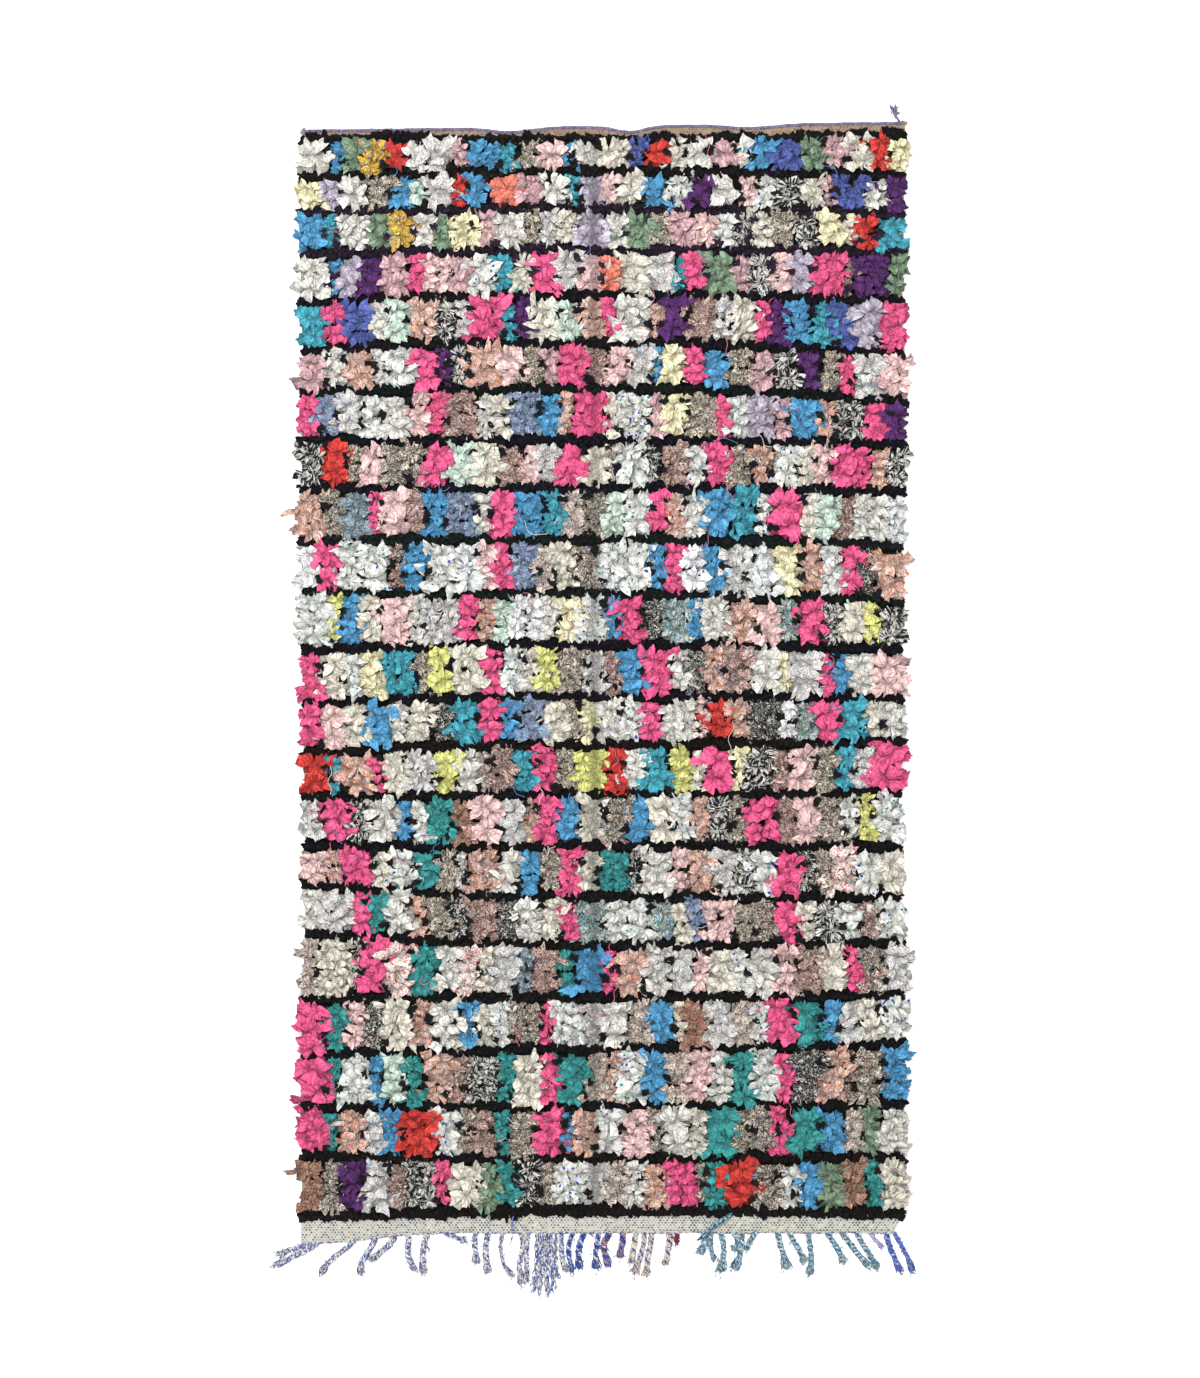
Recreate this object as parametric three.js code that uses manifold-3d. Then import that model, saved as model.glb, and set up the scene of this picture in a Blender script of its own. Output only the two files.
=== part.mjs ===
// A boucherouite rug lying flat: a woven web tufted all over with cut rags, as one lumpy slab with
// rag ends along its sides, a cord along its top edge, and the fringe of knotted warps at its foot.
// Millimetres, +Z up. X runs across the rug and Y along it, with the fringe towards -Y.
// The origin is on the floor, under the middle of the whole rug with its fringe.
import * as THREE from "three";
import { mergeVertices } from "three/addons/utils/BufferGeometryUtils.js";
import Module from "manifold-3d";

const wasm = await Module();
wasm.setup();

// ---- Driving dimensions ----------------------------------------------------------------------

const WEB_WIDTH = 1345;
const WEB_LENGTH = 2475;
const WEB_THICK = 4;
const WEB_CENTRE = { x: 20, y: 37 }; // the web's middle in the part's frame
const GAP = 0.3; // between pieces that meet

// The pile is lowest along the black rows, and lowest of all at the sides.
const BLACK_PILE = 12;
const RAG_PILE = 23;
const RAG_UNEVEN = 5;
const GAP_PILE = 17; // between two neighbouring clumps of rags
const RIM_PILE = 9;
const ROW_UNEVEN = 1.5;

const CLUMPS = 28; // clumps of rags across the rug
const COLUMNS = 2 * CLUMPS + 1;
const CLUMP_JITTER = 0.34; // how far a clump's edge strays, in clump widths
const CREST_LINES = [1 / 3, 2 / 3]; // lines of high points between two black rows

// The black rows, from the top. down: from the web's top edge to the row's middle.
// left, right: how far the row's ends lie above its middle.
const BLACK_ROWS = [
  { down: 20, left: 2, right: 11 },
  { down: 87, left: -13, right: -7 },
  { down: 170, left: -7, right: -13 },
  { down: 263, left: -9, right: -2 },
  { down: 362, left: -16, right: -13 },
  { down: 469, left: -16, right: -29 },
  { down: 572, left: -7, right: -27 },
  { down: 687, left: 0, right: -9 },
  { down: 792, left: -2, right: -9 },
  { down: 908, left: -4, right: -13 },
  { down: 1030, left: 7, right: -18 },
  { down: 1144, left: -13, right: -9 },
  { down: 1258, left: -16, right: -4 },
  { down: 1366, left: -18, right: 7 },
  { down: 1476, left: -7, right: 4 },
  { down: 1592, left: 2, right: -2 },
  { down: 1707, left: 31, right: 4 },
  { down: 1814, left: 31, right: 9 },
  { down: 1930, left: -4, right: 7 },
  { down: 2043, left: -18, right: 9 },
  { down: 2172, left: -4, right: 4 },
  { down: 2289, left: 7, right: 4 },
  { down: 2404, left: -13, right: -7 },
];

const HEADER = 11; // bare web above the first black row
const FOOT_MARGIN = 13; // from the last black row's middle to the bare web below it

// Where the web's outline strays from a rectangle.
const TOP_RISE = 18; // the right end of the top edge lies this much higher than the left
const TOP_DIPS = [
  { x: -205, depth: 9, wide: 60 },
  { x: 60, depth: 12, wide: 45 },
  { x: 330, depth: 7, wide: 70 },
];
const FOOT_RISE = 24; // the foot lies this much higher than its left corner
const FOOT_RISE_OVER = 0.25; // past this share of its width
const FOOT_WAVE = { height: 1.2, reach: 27 }; // a gentle ripple along the rest of the foot
const WAIST = { left: 9, right: 8, down: 1520, wide: 420 };
const SIDE_RIPPLES = [
  { depth: 2.5, pitch: 260 },
  { depth: 2, pitch: 610 },
];
const FOOT_CORNER = { inset: 34, down: 2410 }; // the foot's right corner is drawn in

// The rag ends that stick out of the sides.
const LOCKS_PER_BAND = 2; // on each side
const LOCK = { inside: 9, width: 17, height: 7, shortest: 5, longest: 22, sway: 5 };
const LOCK_WIDTHS = { least: 0.7, most: 1.3 }; // beside a lock's width
// A lock's sections. out: as a share of its reach. size: as a share of its width and height.
const LOCK_MIDDLE = { out: 0.6, low: 1, size: 0.85 };
const LOCK_TIP = { out: 1, low: 0.5, size: 0.35 };
const LOCK_ROOT_LOW = 1.5;

const CORD_RADIUS = 2.8;
const CORD_SIDES = 6;
// The cord's loose end, from where it leaves the web's top edge near the right corner.
// across, up: from the corner. wide: across the yarn, which frays at the end.
const CORD_TAIL = [
  { across: -13, up: 2, wide: 5 },
  { across: -22, up: 16, wide: 6 },
  { across: -26, up: 27, wide: 12 },
  { across: -16, up: 36, wide: 7 },
];
const TAIL_HEIGHT = 4.5;

const STRIP_DEEP = 7; // the strip at the foot that the fringe hangs from
const STRAND_HEIGHT = 5;
// The knotted warps, from left to right. root: from the web's middle, along its foot. high, low,
// lean: how far a strand strays sideways a third and two thirds of the way down and at its tip.
// drop: length down. brush: its width where the yarns spread, near the tip.
const STRANDS = [
  { root: -656, high: -22, low: -48, lean: -69, drop: 24, wide: 11, brush: 15 },
  { root: -634, high: -28, low: -64, lean: -102, drop: 50, wide: 10, brush: 12 },
  { root: -552, high: -30, low: -60, lean: -78, drop: 73, wide: 11, brush: 14 },
  { root: -507, high: -14, low: -30, lean: -30, drop: 79, wide: 12, brush: 15 },
  { root: -464, high: -11, low: -32, lean: -56, drop: 54, wide: 12, brush: 12 },
  { root: -432, high: -2, low: 1, lean: 13, drop: 78, wide: 12, brush: 11 },
  { root: -390, high: -9, low: -11, lean: -12, drop: 89, wide: 12, brush: 15 },
  { root: -351, high: 12, low: 30, lean: 47, drop: 16, wide: 10, brush: 14 },
  { root: -283, high: -2, low: -1, lean: 1, drop: 68, wide: 11, brush: 15 },
  { root: -255, high: -5, low: -5, lean: 1, drop: 89, wide: 12, brush: 15 },
  { root: -222, high: -6, low: 1, lean: 22, drop: 96, wide: 8, brush: 10 },
  { root: -182, high: 2, low: -4, lean: 4, drop: 113, wide: 10, brush: 13 },
  { root: -166, high: -3, low: -4, lean: -1, drop: 105, wide: 9, brush: 9 },
  { root: -145, high: -1, low: -4, lean: -11, drop: 142, wide: 9, brush: 10 },
  { root: -134, high: -2, low: -4, lean: -9, drop: 145, wide: 9, brush: 10 },
  { root: -124, high: -2, low: -1, lean: 2, drop: 151, wide: 9, brush: 10 },
  { root: -114, high: -2, low: 2, lean: 6, drop: 144, wide: 9, brush: 11 },
  { root: -103, high: -2, low: -1, lean: 7, drop: 109, wide: 6, brush: 9 },
  { root: -91, high: -1, low: 2, lean: 11, drop: 86, wide: 10, brush: 12 },
  { root: -65, high: -10, low: -9, lean: -1, drop: 86, wide: 10, brush: 11 },
  { root: -38, high: -13, low: -15, lean: -13, drop: 78, wide: 12, brush: 15 },
  { root: -8, high: -5, low: -7, lean: -6, drop: 79, wide: 10, brush: 18 },
  { root: 18, high: -14, low: -12, lean: -4, drop: 75, wide: 12, brush: 14 },
  { root: 46, high: -1, low: -5, lean: -7, drop: 56, wide: 12, brush: 13 },
  { root: 75, high: -3, low: -7, lean: -13, drop: 66, wide: 12, brush: 11 },
  { root: 93, high: -3, low: -12, lean: -21, drop: 92, wide: 10, brush: 18 },
  { root: 110, high: -4, low: -9, lean: -15, drop: 95, wide: 11, brush: 15 },
  { root: 148, high: 1, low: -4, lean: -9, drop: 70, wide: 12, brush: 13 },
  { root: 166, high: 1, low: 0, lean: -2, drop: 20, wide: 9, brush: 9 },
  { root: 224, high: 6, low: 3, lean: -11, drop: 45, wide: 13, brush: 17 },
  { root: 244, high: -2, low: 0, lean: 6, drop: 60, wide: 9, brush: 9 },
  { root: 262, high: 9, low: 7, lean: -1, drop: 88, wide: 11, brush: 19 },
  { root: 290, high: 10, low: 9, lean: 0, drop: 36, wide: 9, brush: 13 },
  { root: 312, high: -2, low: -7, lean: -20, drop: 79, wide: 11, brush: 18 },
  { root: 344, high: -11, low: -18, lean: -25, drop: 38, wide: 11, brush: 11 },
  { root: 391, high: 6, low: 15, lean: 22, drop: 82, wide: 11, brush: 22 },
  { root: 418, high: 11, low: 25, lean: 31, drop: 66, wide: 11, brush: 15 },
  { root: 460, high: 4, low: 7, lean: -1, drop: 92, wide: 11, brush: 15 },
  { root: 501, high: 16, low: 30, lean: 39, drop: 67, wide: 11, brush: 17 },
  { root: 532, high: 21, low: 41, lean: 65, drop: 75, wide: 11, brush: 13 },
  { root: 568, high: 14, low: 32, lean: 46, drop: 81, wide: 11, brush: 14 },
  { root: 596, high: 9, low: 19, lean: 29, drop: 31, wide: 8, brush: 9 },
  { root: 634, high: 7, low: 19, lean: 33, drop: 85, wide: 11, brush: 13 },
  { root: 652, high: 16, low: 31, lean: 41, drop: 86, wide: 9, brush: 13 },
];
const BRUSH_DOWN = 0.86; // where the yarns spread most, as a share of the drop
const TIP_SHARE = 0.6; // a tip's width beside its brush's

// ---- Helpers ---------------------------------------------------------------------------------

// A number from 0 to 1 that is always the same for the same place.
function chance(a, b, c) {
  const x = Math.sin(a * 12.9898 + b * 78.233 + c * 37.719) * 43758.5453;
  return x - Math.floor(x);
}

// A number from -most to most, always the same for the same place.
function spread(most, a, b, c) {
  return most * (2 * chance(a, b, c) - 1);
}

function between(from, to, share) {
  return from + (to - from) * share;
}

// A soft hump, 1 at its middle.
function hump(x, middle, wide) {
  return Math.exp(-(((x - middle) / wide) ** 2));
}

function solidFrom(geometry) {
  const merged = mergeVertices(geometry);
  return new wasm.Manifold(
    new wasm.Mesh({
      numProp: 3,
      vertProperties: merged.attributes.position.array,
      triVerts: new Uint32Array(merged.index.array),
    }),
  );
}

function geometryFrom(solid) {
  const { vertProperties, triVerts } = solid.getMesh();
  const geometry = new THREE.BufferGeometry();
  geometry.setAttribute("position", new THREE.BufferAttribute(vertProperties, 3));
  geometry.setIndex(new THREE.BufferAttribute(triVerts, 1));
  const flat = geometry.toNonIndexed();
  flat.computeVertexNormals();
  return flat;
}

function geometryOf(points, triangles) {
  const geometry = new THREE.BufferGeometry();
  geometry.setAttribute("position", new THREE.Float32BufferAttribute(points.flat(), 3));
  geometry.setIndex(triangles.flat());
  return geometry;
}

// A closed loft through rings of equally many points, each running anticlockwise
// as seen from the loft's far end looking back.
function loft(rings) {
  const sides = rings[0].length;
  const triangles = [];
  for (let r = 0; r + 1 < rings.length; r++) {
    for (let s = 0; s < sides; s++) {
      const a = r * sides + s;
      const b = r * sides + ((s + 1) % sides);
      triangles.push([a, b, b + sides], [a, b + sides, a + sides]);
    }
  }
  const last = (rings.length - 1) * sides;
  for (let s = 1; s + 1 < sides; s++) {
    triangles.push([0, s + 1, s], [last, last + s, last + s + 1]);
  }
  return geometryOf(rings.flat(), triangles);
}

// ---- The web's outline -----------------------------------------------------------------------

function topEdge(x) {
  const dips = TOP_DIPS.reduce((sum, dip) => sum + dip.depth * hump(x, dip.x, dip.wide), 0);
  return WEB_LENGTH / 2 + TOP_RISE * (x / WEB_WIDTH + 0.5) - dips;
}

function footEdge(x) {
  const share = Math.min(1, (x / WEB_WIDTH + 0.5) / FOOT_RISE_OVER);
  const rise = (FOOT_RISE * (1 - Math.cos(share * Math.PI))) / 2;
  return -WEB_LENGTH / 2 + rise + FOOT_WAVE.height * Math.sin(x / FOOT_WAVE.reach) * share;
}

function blackRow(row, x) {
  const { down, left, right } = BLACK_ROWS[row];
  const t = (2 * x) / WEB_WIDTH;
  const ends = t < 0 ? left * t * t : right * t * t;
  return WEB_LENGTH / 2 - down + ends;
}

function sideEdge(side, y) {
  const down = WEB_LENGTH / 2 - y;
  const waist = (side < 0 ? WAIST.left : WAIST.right) * hump(down, WAIST.down, WAIST.wide);
  const ripple = SIDE_RIPPLES.reduce((sum, { depth, pitch }) => {
    return sum + depth * Math.sin((2 * Math.PI * down) / pitch + side);
  }, 0);
  const past = Math.max(0, down - FOOT_CORNER.down) / (WEB_LENGTH - FOOT_CORNER.down);
  const corner = side > 0 ? FOOT_CORNER.inset * Math.min(1, past) : 0;
  return side * (WEB_WIDTH / 2 - waist - corner + ripple);
}

// ---- The rug ---------------------------------------------------------------------------------

// The lines across the rug, from the top edge to the foot. band is the band of rags
// whose clumps a line follows, and crest numbers the lines that run over those clumps.
function crossLines() {
  const rows = BLACK_ROWS.length;
  const lines = [
    { y: topEdge, band: 0, pile: WEB_THICK },
    { y: (x) => blackRow(0, x) + HEADER, band: 0, pile: WEB_THICK },
  ];
  for (let row = 0; row < rows; row++) {
    lines.push({ y: (x) => blackRow(row, x), band: Math.min(row, rows - 2), pile: BLACK_PILE });
    if (row + 1 === rows) break;
    CREST_LINES.forEach((share, crest) => {
      const y = (x) => between(blackRow(row, x), blackRow(row + 1, x), share);
      lines.push({ y, band: row, pile: RAG_PILE, crest });
    });
  }
  lines.push({ y: (x) => blackRow(rows - 1, x) - FOOT_MARGIN, band: rows - 2, pile: WEB_THICK });
  lines.push({ y: footEdge, band: rows - 2, pile: WEB_THICK });
  return lines;
}

// Where the edge between two clumps of a band lies, as a share of the rug's width.
function clumpEdge(band, clump) {
  const inside = clump > 0 && clump < CLUMPS;
  const stray = inside ? spread(CLUMP_JITTER, band, clump, 1) : 0;
  return (clump + stray) / CLUMPS;
}

// Each clump has a column of points along its edge and one down its middle.
function columnShare(band, column) {
  const clump = Math.floor(column / 2);
  const here = clumpEdge(band, clump);
  return column % 2 === 0 ? here : between(here, clumpEdge(band, clump + 1), 0.5);
}

function pileHeight(line, column) {
  const atRim = column === 0 || column === COLUMNS - 1;
  if (line.crest === undefined) {
    const uneven = line.pile === WEB_THICK ? 0 : spread(ROW_UNEVEN, line.band, column, 2);
    return atRim ? Math.min(line.pile, RIM_PILE) : line.pile + uneven;
  }
  if (atRim) return RIM_PILE;
  const uneven = spread(RAG_UNEVEN, line.band, column, 3 + line.crest);
  return (column % 2 === 1 ? RAG_PILE : GAP_PILE) + uneven;
}

// How far across the rug a column's point lies on a line.
function columnX(line, column) {
  const left = sideEdge(-1, line.y(-WEB_WIDTH / 2));
  const right = sideEdge(1, line.y(WEB_WIDTH / 2));
  return between(left, right, columnShare(line.band, column));
}

// The columns along the web's top edge or its foot.
function edgeColumns(edge) {
  const line = crossLines().find(({ y }) => y === edge);
  return Array.from({ length: COLUMNS }, (_, column) => columnX(line, column));
}

function slab() {
  const lines = crossLines();
  const points = lines.flatMap((line) => {
    return Array.from({ length: COLUMNS }, (_, column) => {
      const x = columnX(line, column);
      return [x, line.y(x), pileHeight(line, column)];
    });
  });
  const triangles = [];
  for (let line = 0; line + 1 < lines.length; line++) {
    for (let column = 0; column + 1 < COLUMNS; column++) {
      const a = line * COLUMNS + column;
      const c = a + COLUMNS;
      triangles.push([a, c, c + 1], [a, c + 1, a + 1]);
    }
  }
  // The rim's top points in order, anticlockwise from above, and the floor points under them.
  const last = lines.length - 1;
  const rim = [
    ...Array.from({ length: last }, (_, i) => i * COLUMNS),
    ...Array.from({ length: COLUMNS - 1 }, (_, i) => last * COLUMNS + i),
    ...Array.from({ length: last }, (_, i) => (last - i) * COLUMNS + COLUMNS - 1),
    ...Array.from({ length: COLUMNS - 1 }, (_, i) => COLUMNS - 1 - i),
  ];
  const under = points.length;
  rim.forEach((i) => points.push([points[i][0], points[i][1], 0]));
  rim.forEach((top, i) => {
    const next = (i + 1) % rim.length;
    triangles.push([top, under + i, under + next], [top, under + next, rim[next]]);
  });
  const outline = rim.map((i) => new THREE.Vector2(points[i][0], points[i][1]));
  THREE.ShapeUtils.triangulateShape(outline, []).forEach(([a, b, c]) => {
    triangles.push([under + a, under + c, under + b]);
  });
  return geometryOf(points, triangles);
}

// A rag end that sticks out of a side: three-sided, rooted inside the slab, its tip near the floor.
// place counts the locks along one band's end.
function lock(side, band, place) {
  const reach = between(LOCK.shortest, LOCK.longest, chance(band, place, 5 + side) ** 2);
  const wide = LOCK.width * between(LOCK_WIDTHS.least, LOCK_WIDTHS.most, chance(band, place, 7 + side));
  const sway = spread(LOCK.sway, band, place, 9 + side);
  const share = (place + 0.5 + spread(0.2, band, place, 11 + side)) / LOCKS_PER_BAND;
  const atSide = (side * WEB_WIDTH) / 2;
  const y = between(blackRow(band, atSide), blackRow(band + 1, atSide), share);
  const edge = sideEdge(side, y);
  const root = { x: edge - side * LOCK.inside, y, low: LOCK_ROOT_LOW, size: 1 };
  const past = [LOCK_MIDDLE, LOCK_TIP].map(({ out, low, size }) => {
    return { x: edge + side * reach * out, y: y + sway * out, low, size };
  });
  const rings = [root, ...past].map((s) => {
    const half = (wide * s.size) / 2;
    const ring = [
      [s.x, s.y - half, s.low],
      [s.x, s.y + half, s.low],
      [s.x, s.y, s.low + LOCK.height * s.size],
    ];
    return side > 0 ? ring : ring.reverse();
  });
  return loft(rings);
}

function rug() {
  const locks = [];
  for (let band = 0; band + 1 < BLACK_ROWS.length; band++) {
    for (let place = 0; place < LOCKS_PER_BAND; place++) {
      locks.push(solidFrom(lock(-1, band, place)), solidFrom(lock(1, band, place)));
    }
  }
  return geometryFrom(wasm.Manifold.union([solidFrom(slab()), ...locks]));
}

// ---- The fringe ------------------------------------------------------------------------------

// A flat four-sided length of yarn through a row of stations, resting on a level floor.
function flatYarn(stations, height) {
  const rings = stations.map((s, i) => {
    const before = stations[Math.max(0, i - 1)];
    const after = stations[Math.min(stations.length - 1, i + 1)];
    const along = new THREE.Vector2(after.x - before.x, after.y - before.y).normalize();
    if (s.square) along.set(0, Math.sign(along.y));
    const acrossX = (-along.y * s.wide) / 2;
    const acrossY = (along.x * s.wide) / 2;
    return [
      [s.x - acrossX, s.y - acrossY, 0],
      [s.x + acrossX, s.y + acrossY, 0],
      [s.x + acrossX, s.y + acrossY, height],
      [s.x - acrossX, s.y - acrossY, height],
    ];
  });
  return loft(rings);
}

function strand({ root, high, low, lean, drop, wide, brush }) {
  const edge = footEdge(root) - GAP - STRIP_DEEP;
  const spreadAt = between(low, lean, (BRUSH_DOWN - 2 / 3) * 3);
  const stations = [
    { x: root, y: edge + STRIP_DEEP / 2, wide, square: true },
    { x: root + high, y: edge - drop / 3, wide },
    { x: root + low, y: edge - (drop * 2) / 3, wide },
    { x: root + spreadAt, y: edge - drop * BRUSH_DOWN, wide: brush },
    { x: root + lean, y: edge - drop, wide: brush * TIP_SHARE },
  ];
  return flatYarn(stations, STRAND_HEIGHT);
}

function fringeStrip() {
  const rings = edgeColumns(footEdge).map((x) => {
    const y = footEdge(x) - GAP;
    return [
      [x, y - STRIP_DEEP, 0],
      [x, y, 0],
      [x, y, WEB_THICK],
      [x, y - STRIP_DEEP, WEB_THICK],
    ];
  });
  return loft(rings);
}

function fringe() {
  const strands = STRANDS.map((row) => solidFrom(strand(row)));
  return geometryFrom(wasm.Manifold.union([solidFrom(fringeStrip()), ...strands]));
}

// ---- The cord along the top edge -------------------------------------------------------------

function edgeCord() {
  const clear = CORD_RADIUS + GAP;
  const columns = edgeColumns(topEdge);
  const rings = columns.map((x) => {
    return Array.from({ length: CORD_SIDES }, (_, i) => {
      const turn = (i * 2 * Math.PI) / CORD_SIDES;
      const y = topEdge(x) + clear + CORD_RADIUS * Math.cos(turn);
      return [x, y, CORD_RADIUS + CORD_RADIUS * Math.sin(turn)];
    });
  });
  const corner = columns[columns.length - 1];
  const tail = CORD_TAIL.map(({ across, up, wide }) => {
    return { x: corner + across, y: topEdge(corner) + clear + up, wide, square: up < CORD_RADIUS };
  });
  return geometryFrom(solidFrom(loft(rings)).add(solidFrom(flatYarn(tail, TAIL_HEIGHT))));
}

// ---- The rug's pieces ------------------------------------------------------------------------

function cloth(name, geometry, color) {
  const material = new THREE.MeshStandardMaterial({ color, roughness: 0.95, metalness: 0 });
  const mesh = new THREE.Mesh(geometry, material);
  mesh.name = name;
  return mesh;
}

const group = new THREE.Group();
group.position.set(WEB_CENTRE.x, WEB_CENTRE.y, 0);
group.add(cloth("rug", rug(), 0xc9b8b0));
group.add(cloth("warp_fringe", fringe(), 0x8f9fb8));
group.add(cloth("edge_cord", edgeCord(), 0x8f88b5));

export default group;
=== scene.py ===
"""A boucherouite rug, laid flat and seen from straight above.

The pile is made of rag knots: each is a ring of crumpled rag ends round a tied middle. They stand in
bands of blocks between rows of black rag, on a flat-woven web. Lengths are millimetres until a mesh, a
material or the stage is made; y runs from the foot to the top of the rug.
"""
import math

import bpy
import numpy as np
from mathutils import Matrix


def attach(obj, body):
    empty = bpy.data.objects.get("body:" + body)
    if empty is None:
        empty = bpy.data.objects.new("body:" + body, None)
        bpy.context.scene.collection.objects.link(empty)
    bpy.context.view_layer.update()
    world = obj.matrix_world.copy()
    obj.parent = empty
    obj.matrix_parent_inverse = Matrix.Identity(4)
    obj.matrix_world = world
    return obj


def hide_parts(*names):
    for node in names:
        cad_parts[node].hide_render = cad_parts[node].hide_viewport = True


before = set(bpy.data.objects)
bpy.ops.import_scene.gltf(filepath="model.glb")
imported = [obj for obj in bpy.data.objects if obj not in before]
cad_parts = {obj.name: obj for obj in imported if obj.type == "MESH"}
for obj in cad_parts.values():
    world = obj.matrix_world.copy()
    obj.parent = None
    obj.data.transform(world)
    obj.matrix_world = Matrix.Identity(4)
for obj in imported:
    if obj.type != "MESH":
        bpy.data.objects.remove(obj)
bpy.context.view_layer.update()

MM = 0.001
ROUND = 6.3  # a random angle is from 0 to this, just over a full turn

# ---- The rug's plan, as its solids have it ---------------------------------------------------

WEB_WIDTH = 1345
WEB_LENGTH = 2475
WEB_THICK = 4
WEB_CENTRE = (20, 37)  # where the web's middle lies in the frame
GAP = 0.3  # between the web and the pieces along its top and its foot
LOWEST = 0.15  # nothing lies nearer to the floor than this

BLACK_PILE = 12  # how high the black rags stand
RAG_PILE = 23  # how high the coloured rags stand
RAG_UNEVEN = 3.5  # how far a block's height strays from that
CLUMPS = 28  # blocks in a band
CLUMP_JITTER = 0.34  # how far a block's edge strays, beside its width

# Each black row: how far below the top its middle lies, and how much higher its left and right ends are.
BLACK_ROWS = np.array([
    (20, 2, 11), (87, -13, -7), (170, -7, -13), (263, -9, -2), (362, -16, -13), (469, -16, -29),
    (572, -7, -27), (687, 0, -9), (792, -2, -9), (908, -4, -13), (1030, 7, -18), (1144, -13, -9),
    (1258, -16, -4), (1366, -18, 7), (1476, -7, 4), (1592, 2, -2), (1707, 31, 4), (1814, 31, 9),
    (1930, -4, 7), (2043, -18, 9), (2172, -4, 4), (2289, 7, 4), (2404, -13, -7),
], float)
ROWS = len(BLACK_ROWS)
BANDS = ROWS - 1
BANDS = ROWS - 1

TOP_RISE = 18  # how much higher the top edge's right end is than its left
TOP_DIPS = ((-205, 9, 60), (60, 12, 45), (330, 7, 70))  # x, depth, wide
FOOT_RISE = 24  # how far the foot slopes, over a share of its width from the left
FOOT_RISE_OVER = 0.25
FOOT_WAVE = 1.2  # how high the ripple along the rest of the foot is
FOOT_WAVE_REACH = 27
WAIST = {-1: 9, 1: 8}  # how far the left and the right side are drawn in
WAIST_DOWN = 1520
WAIST_WIDE = 420
SIDE_RIPPLES = ((2.5, 260), (2, 610))  # depth, pitch
FOOT_CORNER_INSET = 34  # how far the right corner is drawn in, and from where on
FOOT_CORNER_DOWN = 2410


def chance(a, b, c):
    """A value from 0 to 1 that looks random but is the same for the same three numbers."""
    x = np.sin(a * 12.9898 + b * 78.233 + c * 37.719) * 43758.5453
    return x - np.floor(x)


def spread(most, a, b, c):
    return most * (2 * chance(a, b, c) - 1)


def hump(x, middle, wide):
    return np.exp(-(((x - middle) / wide) ** 2))


def top_edge(x):
    dips = sum(depth * hump(x, middle, wide) for middle, depth, wide in TOP_DIPS)
    return WEB_LENGTH / 2 + TOP_RISE * (x / WEB_WIDTH + 0.5) - dips


def foot_edge(x):
    share = np.clip((x / WEB_WIDTH + 0.5) / FOOT_RISE_OVER, 0, 1)
    rise = FOOT_RISE * (1 - np.cos(share * math.pi)) / 2
    return -WEB_LENGTH / 2 + rise + FOOT_WAVE * np.sin(x / FOOT_WAVE_REACH) * share


def black_row(row, x):
    """The y of a black row at x."""
    down, left, right = BLACK_ROWS[row].T
    t = 2 * x / WEB_WIDTH
    return WEB_LENGTH / 2 - down + np.where(t < 0, left, right) * t * t


def side_edge(side, y):
    """The x of the left side, -1, or the right side, 1, at y."""
    down = WEB_LENGTH / 2 - y
    waist = WAIST[side] * hump(down, WAIST_DOWN, WAIST_WIDE)
    ripple = sum(depth * np.sin(2 * math.pi * down / pitch + side) for depth, pitch in SIDE_RIPPLES)
    past = np.clip((down - FOOT_CORNER_DOWN) / (WEB_LENGTH - FOOT_CORNER_DOWN), 0, 1)
    corner = FOOT_CORNER_INSET * past if side > 0 else 0
    return side * (WEB_WIDTH / 2 - waist - corner + ripple)


def clump_edge(band, clump):
    """Where a block starts, as a share of the rug's width."""
    stray = spread(CLUMP_JITTER, band, clump, 1)
    inside = (clump > 0) & (clump < CLUMPS)
    return (clump + np.where(inside, stray, 0)) / CLUMPS


def x_at(share, y):
    """x at a share of the way from the left side to the right one, at y."""
    left, right = side_edge(-1, y), side_edge(1, y)
    return left + (right - left) * share


def stretched(share, y):
    """x along lines with points at those shares and those y, from their left ends to their right ones."""
    left, right = side_edge(-1, y[..., :1]), side_edge(1, y[..., -1:])
    return left + (right - left) * share


# ---- Meshes ----------------------------------------------------------------------------------

CREASE = math.radians(20)  # sharper folds than this show as creases
CLOTH_SPREAD = 2000  # the rags' UVs lie anywhere on a cloth of this size
CLOTH_STEP = 100  # rags are cut from it this far apart, so the distance from a rag's root can be read back for the painted shade there
END_QUADS = 4  # across a rag end
ROOT_WIDE, FAN_OUT, FAN_FAST = 0.42, 0.66, 1.25  # a rag end's width at its root, and how it grows from there
SHALLOW = 0.4  # how deep folds and dents are at the root, beside those at the tip
FINER = 0.55  # the size of a rag end's fine dents beside its coarse ones
# The places of a patch's points, along it and across it.
PATCH_U = np.linspace(-1, 1, 4)[None, :, None]
PATCH_V = np.linspace(-1, 1, 4)[None, None, :]


def turned(a, b, angle):
    return a * np.cos(angle) - b * np.sin(angle), a * np.sin(angle) + b * np.cos(angle)


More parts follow.
